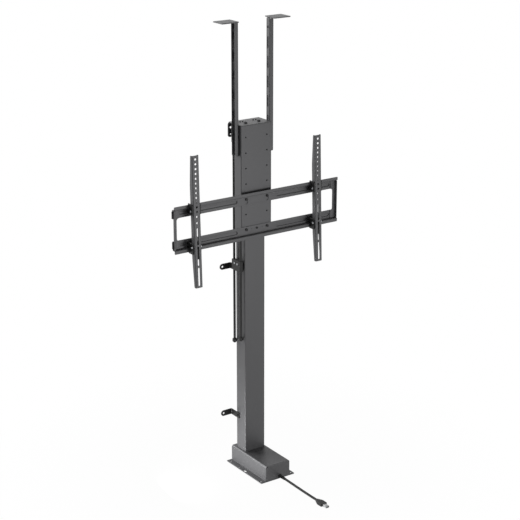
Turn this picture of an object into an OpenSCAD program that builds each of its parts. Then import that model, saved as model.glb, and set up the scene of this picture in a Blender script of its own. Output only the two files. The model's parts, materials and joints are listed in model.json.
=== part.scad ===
// Motorised television lift: a floor-standing telescopic column whose moving head carries
// a slotted television frame in front and two lid bars on top.
// The origin is on the floor under the column's axis. +Z is up and the television faces -Y.

/* [Column] */
// Width of the fixed tube
tube_w = 78; // [70:1:84]
// Depth of the fixed tube
tube_d = 52; // [48:1:54]
// Wall of the fixed tube
tube_wall = 2; // [1.5:0.1:2.2]
// Outer corner radius of the tubes
tube_round = 3; // [2.5:0.5:5]
// Height of the fixed tube's open end above the floor
tube_top = 1150; // [1120:5:1155]
// Wall of the moving tube
inner_wall = 2; // [1.5:0.1:2.5]
// Gap between the two tubes, which the glides fill
glide_gap = 2.5; // [2:0.1:3]
// Height of the moving tube's foot above the floor, lowered
inner_foot = 205; // [180:5:260]
// Height of the glides
glide_h = 60; // [40:5:80]

/* [Base] */
// Width of the floor plate beside the motor cover, on each side
plate_side = 19.5; // [18:0.5:30]
// Thickness of the floor plate
plate_t = 3; // [3:0.5:5]
// Distance from the column's axis to the front of the base
base_front = 160; // [150:2:200]
// Distance from the column's axis to the back of the base
base_back = 47; // [42:1:50]
// Reach of the motor cover beyond each side of the fixed tube
cover_side = 8.5; // [6:0.5:12]
// Height of the motor cover's top above the floor
cover_top = 56; // [54:1:70]
// Sheet thickness of the cover
cover_t = 2; // [1.5:0.5:2.5]
// Diameter of the floor screw holes
floor_hole_d = 7; // [5:0.5:9]
// Inset of the floor screw holes from the plate's edge
floor_hole_inset = 7; // [6:0.5:9]
// Length of the slots beside the cover
floor_slot_l = 16; // [12:1:24]

/* [Drive] */
// Diameter of the lifting spindle
spindle_d = 15; // [12:0.5:18]
// Height of the spindle's upper end above the floor
spindle_top = 980; // [950:5:1000]
// Diameter of the motor's case
motor_d = 42; // [36:1:44]
// Length of the motor's case
motor_l = 92; // [70:1:96]
// Height of the motor's axis above the floor
motor_z = 27; // [25:0.5:30]
// Sideways offset of the motor from the column's axis
motor_x = 18; // [14:0.5:20]

/* [Moving head] */
// Reach of the head beyond each side of the fixed tube
head_side = 19; // [18:0.5:24]
// Distance from the column's axis to the head's front face
head_front = 35.5; // [34:0.5:40]
// Depth of the head's side walls
head_side_d = 38; // [32:1:44]
// Height of the head's lower edge above the floor, lowered
head_foot = 822; // [812:1:830]
// Height of the head's upper edge above the floor, lowered
head_top = 1176; // [1170:1:1200]
// Sheet thickness of the head
head_t = 2; // [1.5:0.5:2.5]
// Thickness of the top cap
cap_t = 2.5; // [2:0.5:4]
// Distance from the column's axis to the back of the cap
cap_back = 36; // [32:1:42]
// Height of the top row of threaded holes
hole_row_top = 1139; // [1135:1:1145]
// Pitch of the rows of threaded holes
hole_pitch = 50; // [50:1:50]
// Spacing of the two columns of threaded holes
hole_span = 80; // [70:1:90]
// Diameter of the threaded holes
head_hole_d = 5; // [4:0.5:6]

/* [Television frame] */
// Length of the rails
rail_l = 628; // [600:2:700]
// Sheet thickness of the rails and end plates
rail_t = 2; // [1.5:0.5:2.5]
// Height of a rail's upright web
rail_web = 30; // [28:1:31]
// Depth of a rail's flange
rail_flange = 13.5; // [13:0.5:18]
// Height of the turned lip
rail_lip = 12; // [10:0.5:14]
// Height of the upper rail's flange above the floor
rail_top = 951; // [947:1:955]
// Distance between the two flanges
rail_span = 132; // [128:0.5:134]
// Length of a pressed groove in the rails
groove_l = 215; // [180:5:220]
// Height of a pressed groove
groove_h = 11; // [8:0.5:12]
// Depth of a pressed groove
groove_deep = 1.2; // [0.6:0.1:1.4]
// Distance from a rail's end to the groove
groove_inset = 25; // [25:1:40]
// Width of an end plate's face
end_plate_w = 20.5; // [18:0.5:24]
// Width of the strip beside the window
end_strip_w = 9; // [8:0.5:12]
// Corner radius of the window
window_round = 8; // [5:0.5:12]

/* [Arms] */
// Width of an arm
arm_w = 25; // [22:0.5:28]
// Length of an arm
arm_l = 421; // [418:1:440]
// Depth of an arm's side flanges
arm_flange = 17.5; // [15:0.5:18]
// Depth of the side flanges at an arm's two ends
arm_end_d = 10; // [8:0.5:14]
// Sheet thickness of an arm
arm_t = 2; // [1.5:0.5:2.5]
// Height of an arm's top end above the floor
arm_top = 1118; // [1110:1:1125]
// Length of the taper at each end of an arm's flanges
arm_taper = 95; // [70:5:110]
// Distance from the column's axis to an arm's front face, midway between the rails
arm_front = 74; // [72:0.5:78]
// Forward lean of the arms' lower ends, in degrees
arm_lean = 2; // [0:0.5:3]
// Distance from the rails' left end to the middle of the left arm
arm_left_inset = 68; // [50:1:110]
// Distance from the rails' right end to the middle of the right arm
arm_right_inset = 96; // [60:1:120]
// Pitch of the round holes in an arm
arm_pitch = 15; // [14:0.5:16]
// Diameter of the holes and width of the slots in an arm
arm_hole_d = 7; // [5:0.5:8]
// Thickness of the hooks' cheeks
hook_t = 3; // [2.5:0.5:4]
// Reach of a hook's jaw below the flange it grips
hook_drop = 20; // [18:0.5:26]

/* [Lid bars] */
// Width of a lid bar's web
bar_web = 20; // [18:1:24]
// Depth of a lid bar's flanges
bar_flange = 14; // [12:0.5:16]
// Sheet thickness of a lid bar
bar_t = 2; // [1.5:0.5:2.5]
// Height of a lid bar's foot above the floor, lowered
bar_foot = 1080; // [1060:1:1085]
// Height of the lid pads' top above the floor, lowered
pad_top = 1503; // [1400:1:1600]
// Distance from the column's axis to the middle of a lid bar
bar_y = -14; // [-16:1:-12]
// Distance from the head's side to a pad's inner edge
pad_inset = 7; // [0:1:8]
// Width of a pad
pad_w = 62; // [50:1:80]
// Depth of a pad
pad_d = 53; // [40:1:60]
// Thickness of a pad
pad_t = 3; // [2:0.5:4]
// Length of a slot in a lid bar
bar_slot_l = 38; // [30:1:42]
// Pitch of the slots in a lid bar
bar_slot_pitch = 62; // [58:1:66]
// Width of a slot in a lid bar
bar_slot_w = 7; // [6:0.5:9]

/* [Wall brackets and rods] */
// Distance from the column's axis to the wall
wall_y = 57; // [50:1:70]
// Thickness of the bracket plates
bracket_t = 3; // [2.5:0.5:3]
// Height of the wall brackets' ears
ear_h = 20; // [18:1:24]
// Reach of an ear from the column's side
ear_w = 40; // [34:1:50]
// Diameter of the wall screw holes
wall_hole_d = 7; // [5:0.5:8]
// Height of the lower wall brackets' middle above the floor
lower_bracket_z = 176; // [150:1:190]
// Height of the sliding bracket's middle above the floor
clamp_z = 695; // [660:1:710]
// Diameter of the guide rods
rod_d = 8; // [6:0.5:8]
// Gap between the tube's side and the rods' axes
rod_gap = 9.5; // [9:0.5:11]
// Place of the rear rod, from the column's axis
rod_rear_y = 21; // [18:1:21]
// Place of the front rod, from the column's axis
rod_front_y = -16; // [-17:1:-14]
// Height of the rear rod's lower end above the floor
rod_rear_foot = 438; // [420:1:445]
// Height of the front rod's lower end above the floor
rod_front_foot = 454; // [445:1:470]

/* [Cable] */
// Diameter of the cable
cable_d = 6.5; // [5:0.5:7]
// Place of the cable's outlet, from the column's axis
cable_x = 8; // [6:1:10]

/* [Hidden] */

$fn = 40;
// Radial clearance of a fastener in its hole
fit = 0.15;
// Clearance between parts that slide on flat faces
slide_gap = 0.2;
// Radial clearance of a turning shaft
shaft_gap = 0.05;
cut = 1;

steel = [0.36, 0.36, 0.37];
dark_steel = [0.3, 0.3, 0.31];
black = [0.05, 0.05, 0.055];
bright = [0.62, 0.63, 0.65];
nylon = [0.86, 0.86, 0.83];

cover_w = tube_w + 2*cover_side;
plate_w = cover_w + 2*plate_side;
head_w = tube_w + 2*head_side;
groove_end = rail_l/2 - groove_inset;
arm_left_x = arm_left_inset - rail_l/2;
arm_right_x = rail_l/2 - arm_right_inset;
inner_w = tube_w - 2*tube_wall - 2*glide_gap;
inner_d = tube_d - 2*tube_wall - 2*glide_gap;
cap_bolt_x = 25;
cap_bolt_y = 12;
cap_screw_step = 5;
end_block_h = 8;
floor_hole_x = plate_w/2 - floor_hole_inset;
floor_hole_y = [base_back - 15, -base_front + 12];
floor_slot_y = -55;
cover_round = 6;
cover_front = -base_front;
cover_rear = base_back - 1;
cover_tab_x = 28;
cover_screw_z = plate_t + 12;
cable_hole_d = 12;
gear_w = 60;
gear_d = 40;
gear_h = 35;
gear_top = plate_t + gear_h;
neck_d = 26;
journal_d = 10;
seat_h = 7;
bearing_d = 26;
seat_top = gear_top + seat_h;
nut_h = 35;

rail_y = -head_front - rail_t/2;
lip_y = rail_y - rail_flange + rail_t;
lower_flange_z = rail_top - rail_span + rail_t;
upper_web_mid = rail_top - rail_web/2;
lower_web_mid = lower_flange_z - rail_t + rail_web/2;
rail_mid = (rail_top + lower_flange_z - rail_t)/2;
bolt_row_upper = hole_row_top - 4*hole_pitch;
bolt_row_lower = hole_row_top - 6*hole_pitch;
window_low = lower_flange_z - rail_t + rail_web;
window_high = rail_top - rail_web;
end_x = rail_l/2 - 2;
hook_screw_y = 11;
strap_t = 1.5;
strap_l = 32;
strap_leg = 11;
strap_low = lower_flange_z - 0.5 - strap_l;
hook_screw_upper = rail_top - 8;
hook_screw_lower = 2*rail_mid - hook_screw_upper;

rod_x = -tube_w/2 - rod_gap;
rod_top = tube_top - 8;
holder_z = 1115;
holder_h = 20;
bar_inner = head_w/2 + slide_gap;
bar_screw_z = [1110, 1165];
bar_top = pad_top - pad_t;
bar_slot_low = bar_screw_z[0] + 4.5;
clamp_len = rod_rear_y - rod_front_y + 12;
clamp_block_low = clamp_z - 2;
clamp_block_h = 35;
clamp_screw_z = clamp_z + 23;
rod_nut_flats = 13;
cable_z = 9;
relief_l = 26;
relief_front = cover_front - relief_l;
plug_rear = -358;
plug_l = 40;

// The cable's middle line, from the relief's end down to the plug on the floor.
cable_route = [[8, -186, 9], [8, -198, 8.9], [8, -212, 8.7], [8.1, -226, 8.4], [8.2, -240, 8.1],
    [8.3, -254, 7.7], [8.5, -268, 7.3], [8.7, -282, 6.9], [8.9, -296, 6.6], [9.2, -310, 6.2],
    [9.5, -324, 5.9], [9.8, -338, 5.7], [10, -350, 5.6], [10, -358, 5.6]];

function unit(v) = v / norm(v);
function route_way(p, i) = unit(p[min(i + 1, len(p) - 1)] - p[max(i - 1, 0)]);
function route_side(p, i) = unit(cross(route_way(p, i), [0, 0, 1]));
function ring(p, i, r, n) = [for (k = [0:n - 1])
    p[i] + r*cos(360*k/n)*route_side(p, i) + r*sin(360*k/n)*cross(route_side(p, i), route_way(p, i))];

// A tube swept along a list of points, closed at both ends.
module swept_tube(p, d, n) {
    points = [for (i = [0:len(p) - 1]) each ring(p, i, d/2, n)];
    sides = [for (i = [0:len(p) - 2], k = [0:n - 1]) each [
        [i*n + k, i*n + (k + 1)%n, (i + 1)*n + k],
        [i*n + (k + 1)%n, (i + 1)*n + (k + 1)%n, (i + 1)*n + k]]];
    near_cap = [[for (k = [n - 1:-1:0]) k]];
    far_cap = [[for (k = [0:n - 1]) (len(p) - 1)*n + k]];
    polyhedron(points, concat(sides, near_cap, far_cap));
}

// A rectangle with round corners, centred on the origin.
module round_rect(w, d, r) {
    square([w - 2*r, d], center = true);
    square([w, d - 2*r], center = true);
    for (x = [-1, 1], y = [-1, 1])
        translate([x*(w/2 - r), y*(d/2 - r)]) circle(r);
}

// The cross-section of bent sheet: straight runs along a middle line, round at the bends.
module sheet_line(p, t) {
    for (i = [0:len(p) - 2]) {
        run = p[i + 1] - p[i];
        translate(p[i])
            rotate(atan2(run[1], run[0]))
                translate([0, -t/2]) square([norm(run), t]);
    }
    for (i = [1:len(p) - 2]) translate(p[i]) circle(d = t, $fn = 24);
}

// Extrudes a drawing in Y and Z along X, centred.
module along_x(l) {
    translate([-l/2, 0, 0]) rotate([90, 0, 90]) linear_extrude(l) children();
}

// Extrudes a drawing in X and Z along Y, from y_low to y_high.
module along_y(y_low, y_high) {
    translate([0, y_high, 0]) rotate([90, 0, 0]) linear_extrude(y_high - y_low) children();
}

// Round bars along an axis, for holes, pins and screws.
module rod_x_axis(p, d, l) {
    translate(p) rotate([0, 90, 0]) cylinder(d = d, h = l);
}

module rod_y_axis(p, d, l) {
    translate(p) rotate([-90, 0, 0]) cylinder(d = d, h = l);
}

// A slot through a sheet that faces Y, upright, between two heights.
module slot_y(x, z_low, z_high, w, y_low, y_high) {
    along_y(y_low, y_high) {
        translate([x - w/2, z_low + w/2]) square([w, z_high - z_low - w]);
        for (z = [z_low + w/2, z_high - w/2]) translate([x, z]) circle(d = w);
    }
}

// A cap screw with a hexagon socket: its head rests on z = 0 and its shank points down.
module cap_screw(d, head_d, head_h, l) {
    difference() {
        union() {
            cylinder(d = head_d, h = head_h);
            translate([0, 0, -l]) cylinder(d = d, h = l + 0.01);
        }
        translate([0, 0, head_h*0.45]) cylinder(d = d*0.9, h = head_h, $fn = 6);
    }
}

// A plain hexagon nut on the Z axis.
module hex_nut(flats, h, bore) {
    difference() {
        cylinder(d = flats/cos(30), h = h, $fn = 6);
        translate([0, 0, -cut]) cylinder(d = bore, h = h + 2*cut);
    }
}

module base_plate() color(steel) {
    difference() {
        translate([0, (base_back - base_front)/2, 0])
            linear_extrude(plate_t) round_rect(plate_w, base_back + base_front, 3);
        for (x = [-1, 1]) {
            for (y = floor_hole_y)
                translate([x*floor_hole_x, y, -cut]) cylinder(d = floor_hole_d, h = plate_t + 2*cut);
            translate([x*floor_hole_x, floor_slot_y, -cut]) linear_extrude(plate_t + 2*cut) {
                square([floor_hole_d, floor_slot_l - floor_hole_d], center = true);
                for (y = [-1, 1])
                    translate([0, y*(floor_slot_l - floor_hole_d)/2]) circle(d = floor_hole_d);
            }
        }
    }
    for (x = [-1, 1]) difference() {
        translate([x*cover_tab_x - 7, cover_rear - cover_t - slide_gap - 2, plate_t]) cube([14, 2, 20]);
        rod_y_axis([x*cover_tab_x, cover_rear - cover_t - 3, cover_screw_z], 4 + 2*fit, 4);
    }
}

// The cover's outline seen from the front: round upper corners, straight sides down to foot.
module cover_outline(side, drop, foot) {
    half = cover_w/2 - side;
    top = cover_top - drop;
    r = cover_round - drop;
    translate([-half, foot]) square([2*half, top - r - foot]);
    translate([-half + r, foot]) square([2*(half - r), top - foot]);
    for (x = [-1, 1]) translate([x*(half - r), top - r]) circle(r);
}

// Folded cover: a channel with a front and a back flap, whose seams show at the corners.
module base_cover() color(steel) {
    seam = 0.6;
    arch_r = cable_hole_d/2;
    difference() {
        union() {
            along_y(cover_front + cover_t, cover_rear - cover_t) cover_outline(0, 0, plate_t);
            along_y(cover_front, cover_front + cover_t + 0.01) cover_outline(seam, 0, plate_t);
            along_y(cover_rear - cover_t - 0.01, cover_rear) cover_outline(seam, 0, plate_t);
        }
        along_y(cover_front + cover_t, cover_rear - cover_t)
            cover_outline(cover_t, cover_t, plate_t - cut);
        linear_extrude(cover_top + cut)
            round_rect(tube_w + 4*slide_gap, tube_d + 4*slide_gap, tube_round);
        along_y(cover_front - cut, cover_front + cover_t + cut) {
            translate([cable_x, cable_z]) circle(arch_r);
            translate([cable_x - arch_r, 0]) square([2*arch_r, cable_z]);
        }
        for (x = [-1, 1])
            rod_y_axis([x*cover_tab_x, cover_rear - cover_t - cut, cover_screw_z], 4 + 2*fit, 6);
    }
}

module cover_screws() color(black) {
    for (x = [-1, 1])
        translate([x*cover_tab_x, cover_rear, cover_screw_z]) rotate([-90, 0, 0])
            cap_screw(4, 7.5, 2.4, 7);
}

// Worm gearbox in the column's foot, its neck and the motor that lies ahead of it.
module gear_motor() color(dark_steel) {
    neck_front = -tube_d/2 - 14;
    difference() {
        translate([-gear_w/2, -gear_d/2, plate_t]) cube([gear_w, gear_d, gear_h]);
        translate([0, 0, plate_t + 10]) cylinder(d = journal_d + 2*shaft_gap, h = gear_h);
    }
    rod_y_axis([motor_x, neck_front, motor_z], neck_d, -neck_front - gear_d/2 + 0.01);
    rod_y_axis([motor_x, neck_front - motor_l, motor_z], motor_d, motor_l + 0.01);
    rod_y_axis([motor_x, neck_front - motor_l - 5, motor_z], motor_d*0.4, 5.01);
    rod_y_axis([motor_x, neck_front - 6, motor_z], motor_d + 2.4, 4);
}

// Strap that holds the motor's case down on the floor plate.
module motor_clamp() color(bright) {
    strap_y = -tube_d/2 - 64;
    inner = motor_d + 2*slide_gap;
    difference() {
        along_y(strap_y, strap_y + 14) {
            translate([motor_x, motor_z]) circle(d = inner + 3);
            translate([motor_x - inner/2 - 1.5, plate_t]) square([inner + 3, motor_z - plate_t]);
            translate([motor_x - inner/2 - 11, plate_t]) square([12, 2]);
        }
        along_y(strap_y - cut, strap_y + 15) {
            translate([motor_x, motor_z]) circle(d = inner);
            translate([motor_x - inner/2, 0]) square([inner, motor_z]);
        }
        translate([motor_x - inner/2 - 6.5, strap_y + 7, 0]) cylinder(d = 4.2, h = 10);
    }
}

// Control board on four posts beside the motor, with its relays, capacitors and sockets.
module control_board() color([0.1, 0.3, 0.16]) {
    board_x = -cover_w/2 + cover_t + 1.5;
    board_w = 32;
    board_y = -150;
    board_l = 104;
    board_z = plate_t + 6;
    for (x = [4, board_w - 4], y = [4, board_l - 4])
        translate([board_x + x, board_y + y, plate_t]) cylinder(d = 5, h = 6.01);
    translate([board_x, board_y, board_z]) cube([board_w, board_l, 1.6]);
    for (y = [14, 34])
        translate([board_x + 4, board_y + y, board_z + 1.6]) cube([12, 16, 14]);
    for (y = [board_l*0.6, board_l*0.75])
        translate([board_x + 10, board_y + y, board_z + 1.6]) cylinder(d = 12, h = 18);
    translate([board_x + 19, board_y + 12, board_z + 1.6]) cube([9, 34, 9]);
    translate([board_x + 20, board_y + 58, board_z + 1.6]) cube([8, 26, 5]);
}

module bearing_seat() color(dark_steel) {
    difference() {
        translate([0, 0, gear_top])
            linear_extrude(seat_h) round_rect(inner_w + 2, gear_d, tube_round);
        translate([0, 0, gear_top - cut])
            cylinder(d = bearing_d + 2*shaft_gap, h = seat_h + 2*cut);
    }
}

module spindle_bearing() color(bright) {
    difference() {
        translate([0, 0, gear_top]) cylinder(d = bearing_d, h = seat_h);
        translate([0, 0, gear_top - cut])
            cylinder(d = journal_d + 2*shaft_gap, h = seat_h + 2*cut);
    }
}

// Fixed tube, with a window in its foot for the motor's neck.
module outer_tube() color(steel) {
    difference() {
        translate([0, 0, plate_t])
            linear_extrude(tube_top - plate_t) round_rect(tube_w, tube_d, tube_round);
        translate([0, 0, plate_t - cut])
            linear_extrude(tube_top + 2*cut)
                round_rect(tube_w - 2*tube_wall, tube_d - 2*tube_wall, tube_round - tube_wall);
        translate([motor_x - neck_d/2 - 2, -tube_d/2 - cut, plate_t - cut])
            cube([neck_d + 4, tube_wall + 2*cut, motor_z + neck_d/2 + 2]);
    }
}

// Plastic collar in the fixed tube's mouth, whose skirt guides the moving tube.
module tube_collar() color(black) {
    difference() {
        union() {
            translate([0, 0, tube_top]) linear_extrude(4) round_rect(tube_w + 2, tube_d + 2, tube_round + 1);
            translate([0, 0, tube_top - glide_h])
                linear_extrude(glide_h + 0.01)
                    round_rect(tube_w - 2*tube_wall - 2*slide_gap, tube_d - 2*tube_wall - 2*slide_gap,
                        tube_round - tube_wall);
        }
        translate([0, 0, tube_top - glide_h - cut])
            linear_extrude(glide_h + 10)
                round_rect(inner_w + 2*slide_gap, inner_d + 2*slide_gap, 2);
    }
}

// Bent bracket on the back of the fixed tube's top, which screws to the wall.
module top_wall_bracket() color(steel) {
    plate_x = 94;
    plate_low = 1123;
    plate_high = 1171;
    leg_x = 29.5;
    difference() {
        union() {
            along_y(wall_y - bracket_t, wall_y)
                translate([0, (plate_low + plate_high)/2]) round_rect(plate_x, plate_high - plate_low, 7);
            for (x = [-1, 1])
                translate([x*leg_x - bracket_t/2, tube_d/2, plate_low + 1])
                    cube([bracket_t, wall_y - tube_d/2 - bracket_t + 0.01, tube_top - plate_low - 1]);
        }
        for (x = [-37, 37]) {
            rod_y_axis([x, wall_y - bracket_t - cut, 1154], wall_hole_d, bracket_t + 2*cut);
            rod_y_axis([x, wall_y - bracket_t - cut, 1132], 4.5, bracket_t + 2*cut);
        }
    }
}

// Angle bracket on the column's left side: a leg along the tube and a round-ended ear.
module angle_bracket(leg_front, z, gap) {
    leg_x = -tube_w/2 - gap;
    ear_end = leg_x - bracket_t - ear_w;
    difference() {
        union() {
            translate([leg_x - bracket_t, leg_front, z - ear_h/2])
                cube([bracket_t, wall_y - leg_front, ear_h]);
            along_y(wall_y - bracket_t, wall_y) {
                translate([ear_end + ear_h/2, z - ear_h/2]) square([ear_w - ear_h/2 + 1, ear_h]);
                translate([ear_end + ear_h/2, z]) circle(d = ear_h);
            }
        }
        rod_y_axis([ear_end + ear_h/2, wall_y - bracket_t - cut, z], wall_hole_d, bracket_t + 2*cut);
        if (gap == 0) rod_x_axis([leg_x - bracket_t - cut, leg_front + 9, z], 5 + 2*fit, bracket_t + 2*cut);
    }
}

module lower_bracket_left() color(black) angle_bracket(6, lower_bracket_z, 0);
module lower_bracket_right() color(black) mirror([1, 0, 0]) angle_bracket(6, lower_bracket_z, 0);

module wall_bracket_screws() color(black) {
    for (s = [-1, 1])
        translate([s*(tube_w/2 + bracket_t), 15, lower_bracket_z]) rotate([0, s*90, 0])
            cap_screw(5, 9, 3, bracket_t);
}

module guide_rod(y, foot) {
    translate([rod_x, y, foot]) cylinder(d = rod_d, h = rod_top - foot);
}

module guide_rod_rear() color(black) guide_rod(rod_rear_y, rod_rear_foot);
module guide_rod_front() color(black) guide_rod(rod_front_y, rod_front_foot);

module rod_nut(y, z, h) {
    translate([rod_x, y, z]) rotate([0, 0, 30]) hex_nut(rod_nut_flats, h, rod_d + 2*fit);
}

module rod_nuts() color(black) {
    for (p = [[rod_rear_y, rod_rear_foot + 3], [rod_front_y, rod_front_foot + 3]])
        rod_nut(p[0], p[1], 11);
    for (y = [rod_rear_y, rod_front_y]) rod_nut(y, holder_z + holder_h, 6.5);
}

// Block on the tube's side that the two rods hang in.
module rod_holder() color(black) {
    block_x = rod_gap + 5.5 - slide_gap;
    difference() {
        translate([-tube_w/2 - slide_gap - block_x, rod_front_y - 6, holder_z])
            cube([block_x, rod_rear_y - rod_front_y + 12, holder_h]);
        for (y = [rod_rear_y, rod_front_y])
            translate([rod_x, y, holder_z - cut]) cylinder(d = rod_d + 2*fit, h = holder_h + 2*cut);
    }
}

// Moulded relief that grips the cable where it leaves the cover.
module strain_relief() color(black) {
    difference() {
        union() {
            rod_y_axis([cable_x, cover_front - 3, cable_z], 14, 3);
            rod_y_axis([cable_x, cover_front, cable_z], 11, cover_t + 6);
            translate([cable_x, cover_front - 2.99, cable_z]) rotate([90, 0, 0])
                cylinder(d1 = 13, d2 = 9, h = relief_l - 3, $fn = 32);
        }
        rod_y_axis([cable_x, relief_front - cut, cable_z], cable_d + 2*fit, relief_l + 20);
    }
}

module power_cable() color(black) swept_tube(cable_route, cable_d, 10);

// Flared connector body at the cable's end.
module plug_body() color(black) {
    h = 11;
    translate([10, plug_rear, 5.6]) rotate([90, 0, 0])
        hull() {
            cylinder(d = 9, h = 1, $fn = 32);
            translate([0, 0, plug_l*0.55]) linear_extrude(1) square([19, h - 0.8], center = true);
            translate([0, 0, plug_l - 1]) linear_extrude(1) square([25, h], center = true);
        }
}

module plug_tip() color(nylon) {
    translate([10 - 6.5, plug_rear - plug_l - 20, 5.6 - 3.5]) cube([13, 20, 7]);
}

// Lifting spindle, plain at its pitch diameter, with a journal and a collar on its bearing.
module drive_spindle() color(bright) {
    foot = plate_t + 12;
    translate([0, 0, foot]) cylinder(d = journal_d, h = seat_top - foot + 0.01);
    translate([0, 0, seat_top]) cylinder(d = spindle_d + 4, h = 4);
    translate([0, 0, seat_top + 3.9]) cylinder(d = spindle_d, h = spindle_top - seat_top - 3.9);
}

module spindle_stop() color(dark_steel) {
    difference() {
        translate([0, 0, spindle_top - 14]) cylinder(d = inner_d - 2*inner_wall - 4, h = 6);
        translate([0, 0, spindle_top - 20]) cylinder(d = spindle_d + 2*shaft_gap, h = 20);
    }
    translate([0, 0, spindle_top - 8]) hex_nut(spindle_d + 6, 7, spindle_d + 2*shaft_gap);
}

// Moving tube, closed at the top by a welded block that takes the cap's bolts.
module inner_tube() color(dark_steel) {
    difference() {
        translate([0, 0, inner_foot])
            linear_extrude(head_top - inner_foot) round_rect(inner_w, inner_d, 3);
        translate([0, 0, inner_foot - cut])
            linear_extrude(head_top - inner_foot - end_block_h + cut)
                round_rect(inner_w - 2*inner_wall, inner_d - 2*inner_wall, 1.5);
        for (x = [-1, 1]) {
            translate([x*cap_bolt_x, -cap_bolt_y, head_top - 30]) cylinder(d = 6 + 2*fit, h = 40);
            for (k = [-1, 1])
                translate([x*cap_bolt_x + k*cap_screw_step, cap_bolt_y, head_top - 30])
                    cylinder(d = 3 + 2*fit, h = 40);
        }
    }
}

module lower_glides() color(nylon) {
    t = glide_gap - slide_gap;
    for (s = [-1, 1]) {
        translate([-20, s > 0 ? inner_d/2 : -inner_d/2 - t, inner_foot + 6]) cube([40, t, glide_h]);
        translate([s > 0 ? inner_w/2 : -inner_w/2 - t, -10, inner_foot + 6]) cube([t, 20, glide_h]);
    }
}

module spindle_nut() color(nylon) {
    difference() {
        translate([0, 0, inner_foot + 2])
            linear_extrude(nut_h)
                round_rect(inner_w - 2*inner_wall - 2*slide_gap, inner_d - 2*inner_wall - 2*slide_gap, 1.5);
        translate([0, 0, inner_foot]) cylinder(d = spindle_d + 2*shaft_gap, h = nut_h + 10);
    }
}

module top_cap() color(steel) {
    cap_d = head_front + cap_back;
    difference() {
        translate([0, cap_back - cap_d/2, head_top]) linear_extrude(cap_t) round_rect(head_w, cap_d, 2.5);
        for (x = [-1, 1]) {
            translate([x*cap_bolt_x, -cap_bolt_y, head_top - cut]) cylinder(d = 6 + 2*fit, h = cap_t + 2*cut);
            for (k = [-1, 1])
                translate([x*cap_bolt_x + k*cap_screw_step, cap_bolt_y, head_top - cut])
                    cylinder(d = 3 + 2*fit, h = cap_t + 2*cut);
        }
    }
}

module cap_bolts() color(dark_steel) {
    for (x = [-1, 1])
        translate([x*cap_bolt_x, -cap_bolt_y, head_top + cap_t]) cap_screw(6, 11, 4, cap_t + end_block_h);
}

module cap_screws() color(black) {
    for (x = [-1, 1], k = [-1, 1])
        translate([x*cap_bolt_x + k*cap_screw_step, cap_bolt_y, head_top + cap_t])
            cap_screw(3, 5.5, 2, cap_t + end_block_h - 1);
}

// Folded shell of the head: front plate with two columns of threaded holes, and side walls.
module head_shell() color(steel) {
    half = head_w/2 - head_t/2;
    front = -head_front + head_t/2;
    back = -head_front + head_side_d;
    difference() {
        translate([0, 0, head_foot]) linear_extrude(head_top - head_foot)
            sheet_line([[-half, back], [-half, front], [half, front], [half, back]], head_t);
        for (k = [0:6], x = [-1, 1])
            rod_y_axis([x*hole_span/2, -head_front - cut, hole_row_top - k*hole_pitch],
                head_hole_d, head_t + 2*cut);
        rod_y_axis([0, -head_front - cut, bolt_row_lower], head_hole_d, head_t + 2*cut);
        for (s = [-1, 1], z = bar_screw_z)
            rod_x_axis([s*half - head_t/2 - cut, bar_y, z], 5 + 2*fit, head_t + 2*cut);
    }
}

// One rail: upright web with two pressed grooves, flange and turned lip. It is drawn for the
// upper rail, round its bolt row.
module rail_body() {
    web_half = rail_l/2 + 2;
    groove_mid = groove_end - groove_l/2;
    web_low = rail_top - rail_web;
    difference() {
        union() {
            along_x(rail_l) {
                sheet_line([[rail_y, web_low], [rail_y, rail_top - rail_t/2],
                    [lip_y, rail_top - rail_t/2], [lip_y, rail_top + rail_lip - rail_t]], rail_t);
            }
            for (s = [-1, 1])
                along_y(-head_front - rail_t, -head_front)
                    translate([s*(web_half - 8) - 8, web_low + 2]) square([16, rail_web - 8]);
            for (s = [-1, 1])
                along_y(-head_front - rail_t/2, -head_front + groove_deep)
                    translate([s*groove_mid, upper_web_mid])
                        round_rect(groove_l + 2, groove_h + 2, groove_h/2);
        }
        for (s = [-1, 1])
            along_y(-head_front - rail_t - cut, -head_front - rail_t + groove_deep)
                translate([s*groove_mid, upper_web_mid])
                    round_rect(groove_l, groove_h, groove_h/2 - 0.01);
    }
}

module upper_rail() color(steel) {
    low = -head_front - rail_t - cut;
    high = -head_front + cut;
    big = 11.5;
    difference() {
        rail_body();
        for (s = [-1, 1]) {
            slot_y(s*hole_span/2, bolt_row_upper - 10, bolt_row_upper + 3.2, 6.4, low, high);
            rod_y_axis([s*hole_span/2, low, bolt_row_upper - 9], big, high - low);
        }
    }
}

module lower_rail() color(steel) {
    low = -head_front - rail_t - cut;
    difference() {
        translate([0, 0, 2*rail_mid]) mirror([0, 0, 1]) rail_body();
        for (x = [-hole_span/2, 0, hole_span/2])
            rod_y_axis([x, low, bolt_row_lower], head_hole_d + 2*fit, rail_t + 2*cut);
        for (x = [-20, 20])
            rod_y_axis([x, low, bolt_row_lower], 2.5, rail_t + 2*cut);
    }
}

// Left end plate: a face that laps both rails, a window edge and a flange turned forward.
module end_plate() {
    face_y = -head_front - 1.5*rail_t;
    low = lower_flange_z + slide_gap;
    high = rail_top - rail_t - slide_gap;
    window_x = -end_x + end_strip_w;
    difference() {
        translate([0, 0, low]) linear_extrude(high - low)
            sheet_line([[-end_x + end_plate_w, face_y], [-end_x + rail_t/2, face_y],
                [-end_x + rail_t/2, lip_y - rail_t/2]], rail_t);
        along_y(face_y - rail_t, face_y + rail_t)
            translate([window_x + 30, (window_low + window_high)/2])
                round_rect(60, window_high - window_low, window_round);
    }
}

module left_end_plate() color(steel) end_plate();
module right_end_plate() color(steel) mirror([1, 0, 0]) end_plate();

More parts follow.
